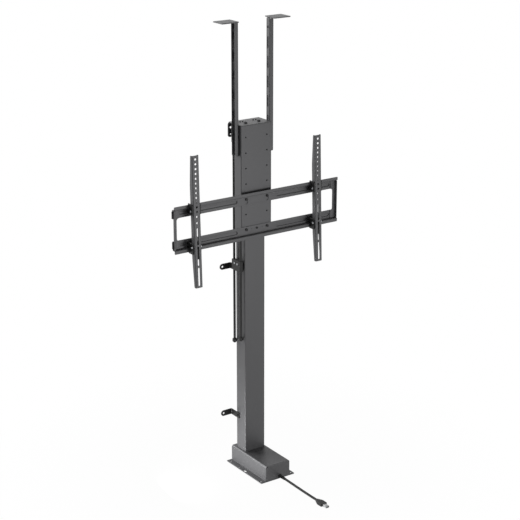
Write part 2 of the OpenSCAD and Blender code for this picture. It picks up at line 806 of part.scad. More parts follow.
module frame_bolts() color(black) {
    head_y = -head_front - rail_t;
    for (x = [-hole_span/2, hole_span/2], z = [bolt_row_upper, bolt_row_lower])
        translate([x, head_y, z]) rotate([90, 0, 0])
            cap_screw(head_hole_d - 2*fit, 9, 3.5, rail_t + head_t + 4);
    translate([0, head_y, bolt_row_lower]) rotate([90, 0, 0])
        cap_screw(head_hole_d - 2*fit, 7, 2.5, rail_t + head_t);
    for (x = [-hole_span/2, hole_span/2], z = [bolt_row_upper, bolt_row_lower])
        translate([x, -head_front + head_t + 4, z]) rotate([90, 0, 0])
            hex_nut(8, 4, head_hole_d);
}

module bar_screws() color(bright) {
    for (s = [-1, 1], z = bar_screw_z)
        translate([s*(bar_inner + bar_t), bar_y, z]) rotate([0, s*90, 0])
            cap_screw(5, 10, 3.5, bar_t + slide_gap + head_t);
}

// Right lid bar: a channel open to the side with a row of slots, and the pad on its top.
module lid_bar() {
    x_web = bar_inner + bar_t/2;
    x_tip = bar_inner + bar_flange;
    half = bar_web/2 - bar_t/2;
    slots = floor((bar_top - 40 - bar_slot_l/2 - bar_slot_low) / bar_slot_pitch);
    difference() {
        union() {
            translate([0, bar_y, bar_foot]) linear_extrude(bar_top - bar_foot)
                sheet_line([[x_tip, -half], [x_web, -half], [x_web, half], [x_tip, half]], bar_t);
            translate([bar_inner + pad_inset + pad_w/2, bar_y + 1, bar_top])
                linear_extrude(pad_t) round_rect(pad_w, pad_d, 3);
        }
        for (k = [0:slots]) {
            z = bar_slot_low + k*bar_slot_pitch;
            translate([0, bar_y, z]) along_x_through()
                round_rect(bar_slot_w, bar_slot_l, bar_slot_w/2 - 0.01);
        }
        rod_x_axis([bar_inner - cut, bar_y, bar_top - 28], 8, bar_t + 2*cut);
    }
}

module along_x_through() {
    translate([bar_inner - cut, 0, 0]) rotate([90, 0, 90]) linear_extrude(bar_t + 2*cut) children();
}

module right_lid_bar() color(steel) lid_bar();
module left_lid_bar() color(steel) mirror([1, 0, 0]) lid_bar();

// An arm upright at x = 0 with its front face on y = 0 and its top at z = 0.
module arm_body() {
    half = arm_w/2 - arm_t/2;
    notch_z = lower_flange_z - arm_top - 9.5;
    first_hole = 12;
    slot_list = [[228, 283], [287, 349], [356, 415]];
    difference() {
        translate([0, 0, -arm_l]) linear_extrude(arm_l)
            sheet_line([[-half, arm_flange], [-half, arm_t/2], [half, arm_t/2], [half, arm_flange]], arm_t);
        for (k = [0:12])
            rod_y_axis([0, -cut, -first_hole - k*arm_pitch], arm_hole_d, arm_t + 2*cut);
        rod_y_axis([0, -cut, -212], arm_hole_d, arm_t + 2*cut);
        for (s = slot_list) slot_y(0, -s[1], -s[0], arm_hole_d - 1, -cut, arm_t + cut);
        for (z = [hook_screw_upper, hook_screw_lower])
            rod_x_axis([-arm_w, hook_screw_y, z - arm_top], 4 + 2*fit, 2*arm_w);
        for (end = [0, -arm_l]) {
            out = end == 0 ? 1 : -1;
            along_x(2*arm_w) polygon([[arm_end_d, end], [arm_flange, end - out*arm_taper],
                [arm_flange + cut, end - out*arm_taper], [arm_flange + cut, end + out*cut],
                [arm_end_d, end + out*cut]]);
        }
        translate([-arm_w, arm_t + 4, notch_z]) cube([2*arm_w, arm_flange, 5]);
    }
}

module placed_arm(x) {
    drop = arm_top - rail_mid;
    translate([x, -arm_front, rail_mid]) rotate([-arm_lean, 0, 0]) translate([0, 0, drop]) arm_body();
}

module left_arm() color(steel) placed_arm(arm_left_x);
module right_arm() color(steel) placed_arm(arm_right_x);

// The outline of a hook in Y and Z: cheek, claw over the lip, and the jaw under the flange.
module hook_outline() {
    front = -arm_front + 4;
    gap = 0.4;
    lip_front = lip_y - rail_t/2 - gap;
    lip_back = lip_y + rail_t/2 + gap;
    tip = rail_top + rail_lip - rail_t + gap;
    foot = rail_top - hook_drop;
    polygon([[front, foot], [-head_front - rail_t - gap, foot],
        [-head_front - rail_t - gap, rail_top - rail_t - gap], [lip_front, rail_top - rail_t - gap],
        [lip_front, tip], [lip_back, tip], [lip_back, rail_top + 2], [lip_back + 3, rail_top + 2],
        [lip_back + 3, tip + 2], [lip_back + 1, tip + 4], [front + 3, tip + 4], [front, tip + 1]]);
}

module hook_pair(x) {
    bar_low = rail_top - hook_drop + 1;
    bar_high = rail_top - rail_t - 0.6;
    bar_back = -head_front - rail_t - 0.6;
    for (s = [-1, 1])
        translate([x + s*(arm_w/2 + slide_gap + hook_t/2), 0, 0]) along_x(hook_t) hook_outline();
    // A bar under the flange joins the two cheeks behind the arm.
    translate([x, 0, 0]) along_x(arm_w + 2*slide_gap + 2*hook_t + 5)
        polygon([[lip_y + 4, bar_low], [bar_back, bar_low], [bar_back, bar_high], [lip_y + 4, bar_high]]);
}

// Strap inside an arm, behind its slots, whose two longer legs the lower screws hold.
module hook_strap(x) {
    half = arm_w/2 - arm_t - slide_gap - strap_t/2;
    front = arm_t + 2.5;
    back = hook_screw_y + 4;
    leaning() translate([x, -arm_front, strap_low]) difference() {
        linear_extrude(strap_l + strap_leg)
            sheet_line([[-half, back], [-half, front], [half, front], [half, back]], strap_t);
        translate([-half + strap_t/2, 0, strap_l]) cube([2*half - strap_t, back, strap_leg + cut]);
    }
}

module hooks(x) {
    difference() {
        union() {
            hook_pair(x);
            translate([0, 0, 2*rail_mid]) mirror([0, 0, 1]) hook_pair(x);
            hook_strap(x);
        }
        leaning()
            for (z = [hook_screw_upper, hook_screw_lower])
                rod_x_axis([x - arm_w, hook_screw_y - arm_front, z], 4 + 2*fit, 2*arm_w);
    }
}

module left_hooks() color(black) hooks(arm_left_x);
module right_hooks() color(black) hooks(arm_right_x);

// Turns a thing drawn on an upright arm with the arm's lean, round the middle between the rails.
module leaning() {
    translate([0, -arm_front, rail_mid]) rotate([-arm_lean, 0, 0])
        translate([0, arm_front, -rail_mid]) children();
}

// Screws through the hooks' cheeks into the arm's flanges, with their heads outside.
module arm_screws(x) {
    reach = arm_w/2 + slide_gap + hook_t;
    leaning()
        for (s = [-1, 1], z = [hook_screw_upper, hook_screw_lower])
            translate([x + s*reach, hook_screw_y - arm_front, z]) rotate([0, s*90, 0])
                cap_screw(4, 7, 2.5, hook_t + arm_t + strap_t + 2*slide_gap);
}

module left_arm_screws() color(bright) arm_screws(arm_left_x);
module right_arm_screws() color(bright) arm_screws(arm_right_x);

module clamp_bracket() color(black) angle_bracket(rod_rear_y - 6, clamp_z, 0.3);

// Block that rides on the two rods and carries the sliding bracket.
module clamp_block() color(black) {
    leg = tube_w/2 + 0.3 + bracket_t;
    depth = rod_gap + tube_w/2 + 7 - leg;
    difference() {
        translate([-leg - depth, rod_front_y - 6, clamp_block_low]) cube([depth, clamp_len, clamp_block_h]);
        for (y = [rod_rear_y, rod_front_y])
            translate([rod_x, y, clamp_block_low - cut])
                cylinder(d = rod_d + 2*fit, h = clamp_block_h + 2*cut);
    }
}

module clamp_screws() color(bright) {
    face = -rod_gap - tube_w/2 - 7;
    for (y = [-8, 8])
        translate([face, y, clamp_screw_z]) rotate([0, -90, 0]) cylinder(d = 6, h = 2.5);
}

base_plate();
base_cover();
cover_screws();
gear_motor();
motor_clamp();
control_board();
bearing_seat();
spindle_bearing();
outer_tube();
tube_collar();
top_wall_bracket();
lower_bracket_left();
lower_bracket_right();
wall_bracket_screws();
guide_rod_rear();
guide_rod_front();
rod_nuts();
rod_holder();
strain_relief();
power_cable();
plug_body();
plug_tip();
drive_spindle();
spindle_stop();
inner_tube();
lower_glides();
spindle_nut();
top_cap();
cap_bolts();
cap_screws();
head_shell();
upper_rail();
lower_rail();
left_end_plate();
right_end_plate();
frame_bolts();
bar_screws();
left_lid_bar();
right_lid_bar();
left_arm();
left_hooks();
left_arm_screws();
right_arm();
right_hooks();
right_arm_screws();
clamp_bracket();
clamp_block();
clamp_screws();
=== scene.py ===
"""Looks of a motorised television lift column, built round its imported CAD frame."""

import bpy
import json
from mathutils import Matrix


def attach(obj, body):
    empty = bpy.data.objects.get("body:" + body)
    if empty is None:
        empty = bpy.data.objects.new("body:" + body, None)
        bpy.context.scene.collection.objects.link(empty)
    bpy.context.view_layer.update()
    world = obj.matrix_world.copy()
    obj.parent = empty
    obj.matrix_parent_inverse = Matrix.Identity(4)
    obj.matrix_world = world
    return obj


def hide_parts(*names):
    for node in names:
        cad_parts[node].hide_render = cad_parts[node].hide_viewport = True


bl_info = {
    "name": "Television Lift Column",
    "version": (1, 0, 0),
    "blender": (4, 5, 0),
    "location": "View3D > Sidebar > Lift",
    "description": "Builds a lift column with its television frame, arms, lid bars and cable",
    "category": "Add Mesh",
}

import json
import math

import bpy
import numpy as np
from bpy.props import FloatProperty, FloatVectorProperty, PointerProperty
from mathutils import Vector
from mathutils.geometry import delaunay_2d_cdt

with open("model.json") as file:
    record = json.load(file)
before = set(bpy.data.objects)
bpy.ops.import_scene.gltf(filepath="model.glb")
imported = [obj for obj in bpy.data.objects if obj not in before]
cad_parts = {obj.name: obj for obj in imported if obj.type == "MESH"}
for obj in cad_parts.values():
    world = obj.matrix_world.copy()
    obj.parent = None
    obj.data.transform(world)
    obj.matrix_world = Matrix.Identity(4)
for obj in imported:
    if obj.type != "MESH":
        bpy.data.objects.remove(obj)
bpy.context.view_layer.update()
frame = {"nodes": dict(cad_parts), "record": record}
MM = 0.001
PLATE_REACH = 2000


# Settings.


def length_setting(name, description, default, low, high):
    return FloatProperty(name=name, description=description, default=default, min=low, max=high,
                         unit="LENGTH")


def colour_setting(name, description, default):
    return FloatVectorProperty(name=name, description=description, default=default,
                               subtype="COLOR", size=3, min=0, max=1)


class LiftSizes(bpy.types.PropertyGroup):
    """Sizes that a user would change."""

    cable_diameter: length_setting("Cable Diameter", "Outer diameter of the cable",
                                   0.008, 0.003, 0.012)
    sheet: length_setting("Sheet", "Thickness of the folded sheets", 0.002, 0.001, 0.003)
    bend: length_setting("Bend Radius", "Radius of a fold's middle line", 0.0022, 0.0015, 0.004)
    edge: length_setting("Edge Break", "Width of the broken edges of sheets",
                         0.0003, 0.0001, 0.0008)


class LiftColours(bpy.types.PropertyGroup):
    """Colours of the finishes."""

    coat: colour_setting("Powder Coat", "Colour of the powder coat", (0.078, 0.078, 0.080))
    black: colour_setting("Black", "Colour of the black steel and plastic",
                          (0.005, 0.005, 0.0055))
    zinc: colour_setting("Zinc", "Colour of the zinc plated fasteners", (0.10, 0.10, 0.105))
    steel: colour_setting("Dark Steel", "Colour of the bare drive parts", (0.3, 0.3, 0.305))
    nylon: colour_setting("Nylon", "Colour of the glides and the nut", (0.72, 0.71, 0.66))
    board: colour_setting("Circuit Board", "Colour of the circuit board", (0.02, 0.12, 0.05))


# Shaders.


class Wire:
    """A shader socket whose arithmetic adds Math nodes."""

    def __init__(self, owner, socket):
        self.owner = owner
        self.socket = socket

    def maths(self, operation, first, second):
        return self.owner.node("ShaderNodeMath", {"operation": operation}, {0: first, 1: second})

    def __add__(self, other):
        return self.maths("ADD", self, other)

    def __radd__(self, other):
        return self.maths("ADD", other, self)

    def __sub__(self, other):
        return self.maths("SUBTRACT", self, other)

    def __mul__(self, other):
        return self.maths("MULTIPLY", self, other)

    def __rmul__(self, other):
        return self.maths("MULTIPLY", other, self)

    def clamp(self, low, high):
        """Maps low..high onto 0..1 and stops there."""
        return self.owner.node("ShaderNodeMapRange", {"clamp": True},
                               {"Value": self, "From Min": low, "From Max": high})


class Nodes:
    """An emptied node tree, and what adds nodes and links to it."""

    def __init__(self, tree):
        self.tree = tree
        tree.nodes.clear()

    def node(self, kind, settings=None, inputs=None, out=0):
        """Adds a node: its settings first, then values or links for its sockets."""
        made = self.tree.nodes.new(kind)
        for name, value in (settings or {}).items():
            setattr(made, name, value)
        for key, value in (inputs or {}).items():
            self.feed(made.inputs[key], value)
        return Wire(self, made.outputs[out])

    def feed(self, socket, value):
        if isinstance(value, Wire):
            self.tree.links.new(value.socket, socket)
        else:
            socket.default_value = value

    def seen(self):
        """Above 0 for rays of the camera, of reflections and of transmission."""
        path = self.tree.nodes.new("ShaderNodeLightPath")
        camera, glossy, through = [Wire(self, path.outputs[k]) for k in
                                   ("Is Camera Ray", "Is Glossy Ray", "Is Transmission Ray")]
        return camera + glossy + through


class Finish(Nodes):
    """A material with one Principled shader."""

    def __init__(self, name):
        self.material = bpy.data.materials.new(name)
        self.material.use_nodes = True
        super().__init__(self.material.node_tree)
        self.output = self.tree.nodes.new("ShaderNodeOutputMaterial")
        self.shader = self.tree.nodes.new("ShaderNodeBsdfPrincipled")
        self.tree.links.new(self.shader.outputs[0], self.output.inputs[0])

    def set(self, **sockets):
        """Sets the Principled shader's sockets; an underscore stands for a blank."""
        for name, value in sockets.items():
            self.feed(self.shader.inputs[name.replace("_", " ")], value)

    def place(self):
        """Where a point lies in object space, in metres."""
        return self.node("ShaderNodeTexCoord", out=3)

    def noise(self, scale, detail=2.0, rough=0.5, stretch=(1, 1, 1)):
        """Noise in object space, with scale in cells per metre."""
        place = self.node("ShaderNodeVectorMath", {"operation": "MULTIPLY"},
                          {0: self.place(), 1: stretch})
        return self.node("ShaderNodeTexNoise", None, {"Vector": place, "Scale": scale,
                                                      "Detail": detail, "Roughness": rough})

    def blend(self, share, first, second):
        """Mixes two colours."""
        return self.node("ShaderNodeMix", {"data_type": "RGBA"},
                         {0: share, 6: first, 7: second}, 2)

    def bump(self, height, depth):
        return self.node("ShaderNodeBump", None, {"Height": height, "Distance": depth,
                                                  "Strength": 1.0})


def shade(colour, factor):
    """A colour times a factor, as four numbers."""
    return (*[min(1.0, c * factor) for c in colour[:3]], 1.0)


def powder_coat(name, colour):
    """Textured paint: fine grain, soft clouds of tone and faint rubbed patches."""
    f = Finish(name)
    grain = f.noise(1500, 2.0, 0.6)
    cloud = f.noise(14, 3.0)
    rub = f.noise(45, 5.0, 0.7).clamp(0.60, 0.82)
    tone = f.blend(cloud.clamp(0.3, 0.7), shade(colour, 0.90), shade(colour, 1.10))
    speck = f.blend(grain.clamp(0.35, 0.75) * 0.35, tone, shade(colour, 1.45))
    f.set(Base_Color=f.blend(rub * 0.25, speck, shade(colour, 1.30)),
          Roughness=0.47 + 0.10 * cloud - 0.07 * rub,
          Normal=f.bump(grain + 0.25 * cloud, 0.00006), Specular_IOR_Level=0.05)


def black_paint(name, colour):
    """Smooth black paint with a slight orange peel and thin scuffs."""
    f = Finish(name)
    peel = f.noise(420, 1.5)
    scuff = f.noise(90, 6.0, 0.75, (1, 1, 0.25)).clamp(0.60, 0.78)
    f.set(Base_Color=f.blend(scuff * 0.35, shade(colour, 0.8), shade(colour, 1.8)),
          Roughness=0.38 + 0.12 * peel + 0.10 * scuff,
          Normal=f.bump(peel, 0.00004), Specular_IOR_Level=0.02)


def plated(name, colour):
    """Zinc plate: spangled tone and fine brushing."""
    f = Finish(name)
    cell = f.node("ShaderNodeTexVoronoi", None, {"Vector": f.place(), "Scale": 480.0})
    brush = f.noise(900, 3.0, 0.6)
    f.set(Base_Color=f.blend(cell.clamp(0.1, 0.7), shade(colour, 0.86), shade(colour, 1.12)),
          Metallic=1.0, Roughness=0.38 + 0.16 * brush, Normal=f.bump(brush, 0.00002))


def drawn_steel(name, colour):
    """Dark drawn steel with lengthwise draw lines and a film of grease."""
    f = Finish(name)
    line = f.noise(900, 3.0, 0.6, (1, 1, 0.03))
    film = f.noise(25, 4.0)
    f.set(Base_Color=f.blend(film.clamp(0.35, 0.7), shade(colour, 0.8), shade(colour, 1.2)),
          Metallic=0.3, Roughness=0.35 + 0.20 * line, Normal=f.bump(line, 0.00003))


def moulded(name, colour, rough, grain, depth):
    """Moulded plastic or rubber with a fine spark-eroded grain."""
    f = Finish(name)
    fine = f.noise(grain, 2.0, 0.6)
    broad = f.noise(40, 3.0)
    f.set(Base_Color=f.blend(broad.clamp(0.3, 0.7), shade(colour, 0.85), shade(colour, 1.2)),
          Roughness=(rough - 0.05) + 0.10 * fine, Normal=f.bump(fine, depth),
          Specular_IOR_Level=0.08)


def clear_plastic(name):
    """Milky connector plastic."""
    f = Finish(name)
    haze = f.noise(300, 3.0)
    f.set(Base_Color=f.blend(haze, (0.86, 0.87, 0.88, 1), (0.95, 0.96, 0.97, 1)),
          Roughness=0.22 + 0.10 * haze, Normal=f.bump(haze, 0.00002))


def finishes():
    """Makes the object's finishes, one for each material slot of the record."""
    c = bpy.context.scene.lift_colours
    powder_coat("powder_coat", c.coat)
    black_paint("black_steel", c.black)
    plated("zinc", c.zinc)
    drawn_steel("drive_steel", c.steel)
    clear_plastic("clear_plastic")
    for name, colour, rough, grain, depth in (("nylon", c.nylon, 0.5, 700, 0.00005),
                                              ("black_plastic", c.black, 0.5, 1100, 0.00005),
                                              ("rubber", c.black, 0.62, 1400, 0.00008),
                                              ("circuit_board", c.board, 0.35, 600, 0.00005)):
        moulded(name, colour, rough, grain, depth)


# Surfaces.


def outwards(part):
    """The part with its faces turned outwards, by the sign of its volume: a sixth of the sum
    of each triangle's triple product."""
    verts, groups = part
    verts = np.asarray(verts, float)
    tri = verts[np.concatenate([np.asarray(g)[:, [0, k, k + 1]] for g in groups
                                for k in range(1, g.shape[1] - 1)])]
    volume = np.einsum("ij,ij->", tri[:, 0], np.cross(tri[:, 1], tri[:, 2]))
    return (verts, [g[:, ::-1] for g in groups]) if volume < 0 else (verts, groups)


def finish_mesh(name, part, slot, body, replaces=(), angle=40.0, weighted=False):
    """Makes a piece from vertices in millimetres, shades it by angle and hands it to its
    body."""
    verts, faces = outwards(part)
    mesh = bpy.data.meshes.new(name)
    mesh.from_pydata((verts * MM).tolist(), [], [f for g in faces for f in g.tolist()])
    mesh.validate()
    mesh.shade_smooth()
    mesh.set_sharp_from_angle(angle=math.radians(angle))
    piece = bpy.data.objects.new(name, mesh)
    bpy.context.scene.collection.objects.link(piece)
    piece.data.materials.append(bpy.data.materials[slot])
    if weighted:
        piece.modifiers.new("Weighted Normal", "WEIGHTED_NORMAL").keep_sharp = True
    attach(piece, body)
    if replaces:
        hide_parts(*replaces)
    return piece


def finish_sheet(name, part, body, node, slot="powder_coat"):
    """Makes a piece with broad flat faces and broken edges."""
    return finish_mesh(name, part, slot, body, [node], angle=60, weighted=True)


def point(thing, way):
    """Turns a camera or a lamp to look along way."""
    thing.rotation_mode = "QUATERNION"
    thing.rotation_quaternion = way.to_track_quat("-Z", "Y")


def grid_faces(rows, columns, wrap_rows=False):
    """Quads of a grid whose columns close round; its rows close too if wrap_rows is set."""
    r = np.arange(rows if wrap_rows else rows - 1)[:, None]
    c = np.arange(columns)[None, :]
    r2, c2 = (r + 1) % rows, (c + 1) % columns
    quads = np.stack([r * columns + c, r * columns + c2, r2 * columns + c2, r2 * columns + c], -1)
    return quads.reshape(-1, 4)


def join(parts):
    """Joins (vertices, [face arrays]) pairs into one."""
    verts, faces, start = [], {}, 0
    for v, groups in parts:
        for g in groups:
            faces.setdefault(g.shape[1], []).append(g + start)
        verts.append(v)
        start += len(v)
    return np.concatenate(verts), [np.concatenate(g) for g in faces.values()]


def assembled(parts):
    """Closed bodies as one part, each with its faces outwards."""
    return join([outwards(part) for part in parts])


def capped(rings, first, last):
    """Rings of points joined by quads. Fans close both ends at the points first and last."""
    rows, n = rings.shape[:2]
    k = np.arange(n)
    k2, end = (k + 1) % n, (rows - 1) * n
    fans = np.concatenate([np.stack([np.full(n, rows * n), k2, k], -1),
                           np.stack([np.full(n, rows * n + 1), k + end, k2 + end], -1)])
    verts = np.concatenate([rings.reshape(-1, 3), np.array([first, last], float)])
    return verts, [grid_faces(rows, n), fans]


def hexagon(a):
    """The radius of a hexagon at the angle a, its corners at 1."""
    return np.cos(np.pi / 6) / np.cos(a % (np.pi / 3) - np.pi / 6)


def turned(profile, sides, flats=()):
    """A profile of radius and height turned about Z: x = r cos a, y = r sin a. Rows named in
    flats keep their radius at the corners of a hexagon. Both ends close on the axis."""
    profile = np.asarray(profile, float)
    a = np.linspace(0, 2 * np.pi, sides, endpoint=False)
    r = np.repeat(profile[1:-1, 0:1], sides, 1)
    for row in flats:
        r[row - 1] *= hexagon(a)
    z = np.repeat(profile[1:-1, 1:2], sides, 1)
    rings = np.stack([r * np.cos(a), r * np.sin(a), z], -1)
    return capped(rings, (0, 0, profile[0, 1]), (0, 0, profile[-1, 1]))


def turned_y(section, sides, centre, way):
    """A closed section of radius and depth turned about a line along Y; way is the sign of
    the depth."""
    a = np.linspace(0, 2 * np.pi, sides, endpoint=False)
    r, depth = section[:, 0:1], section[:, 1:2]
    verts = np.stack([r * np.cos(a), way * depth + 0 * a, r * np.sin(a)], -1)
    return verts.reshape(-1, 3) + centre, [grid_faces(len(section), sides, wrap_rows=True)]


def aimed(part, places, way):
    """Copies of a part with its Z axis along way, one at each place."""
    verts, groups = part
    turn = np.array(Vector((0, 0, 1)).rotation_difference(Vector(way)).to_matrix())
    return join([(verts @ turn.T + np.asarray(p, float), groups) for p in places])


def socket_screw(d, head_d, top, length):
    """Cap screw with a rounded head and a hexagon socket; the head stands on z = 0 up to
    top."""
    r, s, e = head_d / 2, d * 0.45, min(0.5, top * 0.2)
    profile = [(0, top * 0.42), (s * 0.96, top * 0.42), (s, top * 0.46), (s, top - 0.15),
               (s + 0.25, top), (r - 1.6 * e, top), (r - 0.5 * e, top - 0.25 * e),
               (r - 0.1 * e, top - 0.8 * e), (r, top - 1.6 * e), (r, 0.15), (r - 0.15, 0),
               (d / 2, 0), (d / 2, -length + 0.4), (d / 2 - 0.4, -length), (0, -length)]
    return turned(profile, 36, (1, 2, 3))


def nut(flats, height, bore, turn=0.0):
    """A hexagon nut on z = 0, turned by a share of 60 degrees: its corners are cut by a cone
    at both faces."""
    c = flats / 2 / math.cos(math.pi / 6)
    a = np.linspace(0, 2 * np.pi, 48, endpoint=False)
    sides = c * hexagon(a + turn * np.pi / 3)
    rows = [(bore / 2, 0.4), (bore / 2 + 0.4, 0), (c * 0.84, 0), (c, 0.7), (c, height - 0.7),
            (c * 0.84, height), (bore / 2 + 0.4, height), (bore / 2, height - 0.4)]
    r = np.stack([sides if i in (3, 4) else np.full(48, q) for i, (q, _) in enumerate(rows)])
    z = np.repeat(np.array([[h] for _, h in rows]), 48, 1)
    verts = np.stack([r * np.cos(a), r * np.sin(a), z], -1).reshape(-1, 3)
    return verts, [grid_faces(8, 48, wrap_rows=True)]


def swept(path, section):
    """A flat section of (side, up) points, or one for each point, carried along a path in 3-D
    and standing square to it, with fans over both ends."""
    path = np.asarray(path, float)
    way = np.gradient(path, axis=0)
    way /= np.linalg.norm(way, axis=1)[:, None]
    side = np.cross(way, [0, 0, 1.0])
    side /= np.linalg.norm(side, axis=1)[:, None]
    up = np.cross(side, way)
    section = np.asarray(section, float)
    if section.ndim == 2:
        section = np.repeat(section[None], len(path), 0)
    rings = path[:, None] + section[..., 0:1] * side[:, None] + section[..., 1:2] * up[:, None]
    return capped(rings, path[0], path[-1])


def spline(points, count):
    """Catmull-Rom curve through the points: a cubic on each span, from the two points and
    the slopes that their neighbours give."""
    p = np.asarray(points, float)
    m = np.gradient(p, axis=0)
    t = np.linspace(0, len(p) - 1 - 1e-9, count)
    i = t.astype(int)
    f = (t - i)[:, None]
    return ((2 * f**3 - 3 * f**2 + 1) * p[i] + (f**3 - 2 * f**2 + f) * m[i]
            + (3 * f**2 - 2 * f**3) * p[i + 1] + (f**3 - f**2) * m[i + 1])


def oval(w, h, power=2.0, sides=40):
    """A superellipse: |x/a|^n + |y/b|^n = 1."""
    a = np.linspace(0, 2 * np.pi, sides, endpoint=False)
    c, s = np.cos(a), np.sin(a)
    return np.stack([w / 2 * np.sign(c) * np.abs(c) ** (2 / power),
                     h / 2 * np.sign(s) * np.abs(s) ** (2 / power)], -1)


# Flat patterns.


def round_corners(points, radii, steps=6):
    """A closed outline whose corners are arcs: each arc starts and ends r tan(half turn)
    from the corner and its centre lies on the corner's bisector."""
    p = np.asarray(points, float)
    radii = np.broadcast_to(np.asarray(radii, float), (len(p),))
    out = []
    for i, r in enumerate(radii):
        a, b, c = p[i - 1], p[i], p[(i + 1) % len(p)]
        u, v = (a - b) / np.linalg.norm(a - b), (c - b) / np.linalg.norm(c - b)
        if r <= 0:
            out.append(b[None])
            continue
        half = 0.5 * math.acos(np.clip(u @ v, -1, 1))
        reach = r / math.tan(half)
        middle = b + (u + v) / np.linalg.norm(u + v) * r / math.sin(half)
        first, last = b + u * reach - middle, b + v * reach - middle
        sweep = math.atan2(first[0] * last[1] - first[1] * last[0], first @ last)
        t = np.linspace(0, sweep, steps + 1)
        out.append(middle + np.stack([first[0] * np.cos(t) - first[1] * np.sin(t),
                                      first[0] * np.sin(t) + first[1] * np.cos(t)], -1))
    return np.concatenate(out)


def disc(u, s, d, steps=28):
    """A circle of diameter d round (u, s)."""
    a = np.linspace(0, 2 * np.pi, steps, endpoint=False)
    return np.stack([u + d / 2 * np.cos(a), s + d / 2 * np.sin(a)], -1)


def rectangle(u0, s0, u1, s1, radii, steps=6):
    """A rectangle with rounded corners, from (u0, s0) to (u1, s1)."""
    return round_corners([[u0, s0], [u1, s0], [u1, s1], [u0, s1]], radii, steps)


def capsule(u, s, lu, ls, steps=10):
    """A slot with round ends, lu by ls."""
    r = min(lu, ls) / 2 - 1e-3
    return rectangle(u - lu / 2, s - ls / 2, u + lu / 2, s + ls / 2, r, steps)


def facing(loop, left=True):
    """The loop with its inside on the left, or on the right."""
    x, y = loop[:, 0], loop[:, 1]
    area = x @ np.roll(y, -1) - y @ np.roll(x, -1)
    return loop if (area > 0) == left else loop[::-1]


def shrunk(loop, d):
    """The loop moved by d to its left, with mitred corners."""
    e = np.roll(loop, -1, 0) - loop
    n = np.stack([-e[:, 1], e[:, 0]], -1) / np.linalg.norm(e, axis=1)[:, None]
    back = np.roll(n, 1, 0)
    return loop + d * (n + back) / (1 + (n * back).sum(1))[:, None]


def inside(points, loop):
    """Even-odd test of points against a loop, by counting crossed edges."""
    x, y = points[:, 0:1], points[:, 1:2]
    a, b = loop, np.roll(loop, -1, 0)
    crosses = (a[:, 1] > y) != (b[:, 1] > y)
    with np.errstate(divide="ignore", invalid="ignore"):
        at = a[:, 0] + (y - a[:, 1]) * (b[:, 0] - a[:, 0]) / (b[:, 1] - a[:, 1])
    return (crosses & (x < at)).sum(1) % 2 == 1


class Fold:
    """A sheet's middle line: straight runs joined by arcs of one radius. s runs along it."""

    def __init__(self, corners, radius, steps=6):
        c = np.asarray(corners, float)
        ways = np.diff(c, axis=0)
        lengths = np.linalg.norm(ways, axis=1)
        ways = ways / lengths[:, None]
        normals = np.stack([-ways[:, 1], ways[:, 0]], -1)
        points, norms, knots, self.start = [c[0]], [normals[0]], [0.0], []
        self.bends = []
        lost = 0.0
        for i in range(len(ways)):
            self.start.append(knots[-1] - lost)
            if i == len(ways) - 1:
                points.append(c[-1])
                norms.append(normals[-1])
                knots.append(knots[-1] + lengths[i] - lost)
                break
            turn = math.atan2(ways[i][0] * ways[i + 1][1] - ways[i][1] * ways[i + 1][0],
                              ways[i] @ ways[i + 1])
            reach = radius * math.tan(abs(turn) / 2)
            begin = c[i + 1] - ways[i] * reach
            middle = begin + normals[i] * radius * np.sign(turn)
            base = knots[-1] + lengths[i] - lost - reach
            for t in np.linspace(0, 1, steps + 1):
                a = turn * t
                turned_by = np.array([[math.cos(a), -math.sin(a)], [math.sin(a), math.cos(a)]])
                points.append(middle + turned_by @ (begin - middle))
                norms.append(turned_by @ normals[i])
                knots.append(base + radius * abs(turn) * t)
                self.bends.append(knots[-1])
            lost = reach
        self.points, self.norms = np.array(points), np.array(norms)
        self.knots, self.length = np.array(knots), knots[-1]

    def on(self, run, distance):
        """s of a point on a run, at a distance from the run's first sharp corner."""
        return self.start[run] + distance

    def at(self, s, w):
        """Where s along the line and w out of it lie."""
        p = [np.interp(s, self.knots, self.points[:, k]) for k in (0, 1)]
        n = [np.interp(s, self.knots, self.norms[:, k]) for k in (0, 1)]
        size = np.hypot(*n)
        return p[0] + w * n[0] / size, p[1] + w * n[1] / size


def cut_at(loop, levels):
    """Adds a vertex wherever the loop crosses one of the s levels."""
    for level in levels:
        nxt = np.roll(loop, -1, 0)
        hit = np.nonzero((loop[:, 1] - level) * (nxt[:, 1] - level) < -1e-12)[0]
        if len(hit):
            t = (level - loop[hit, 1]) / (nxt[hit, 1] - loop[hit, 1])
            new = loop[hit] + t[:, None] * (nxt[hit] - loop[hit])
            new[:, 1] = level
            loop = np.insert(loop, hit + 1, new, 0)
    return loop


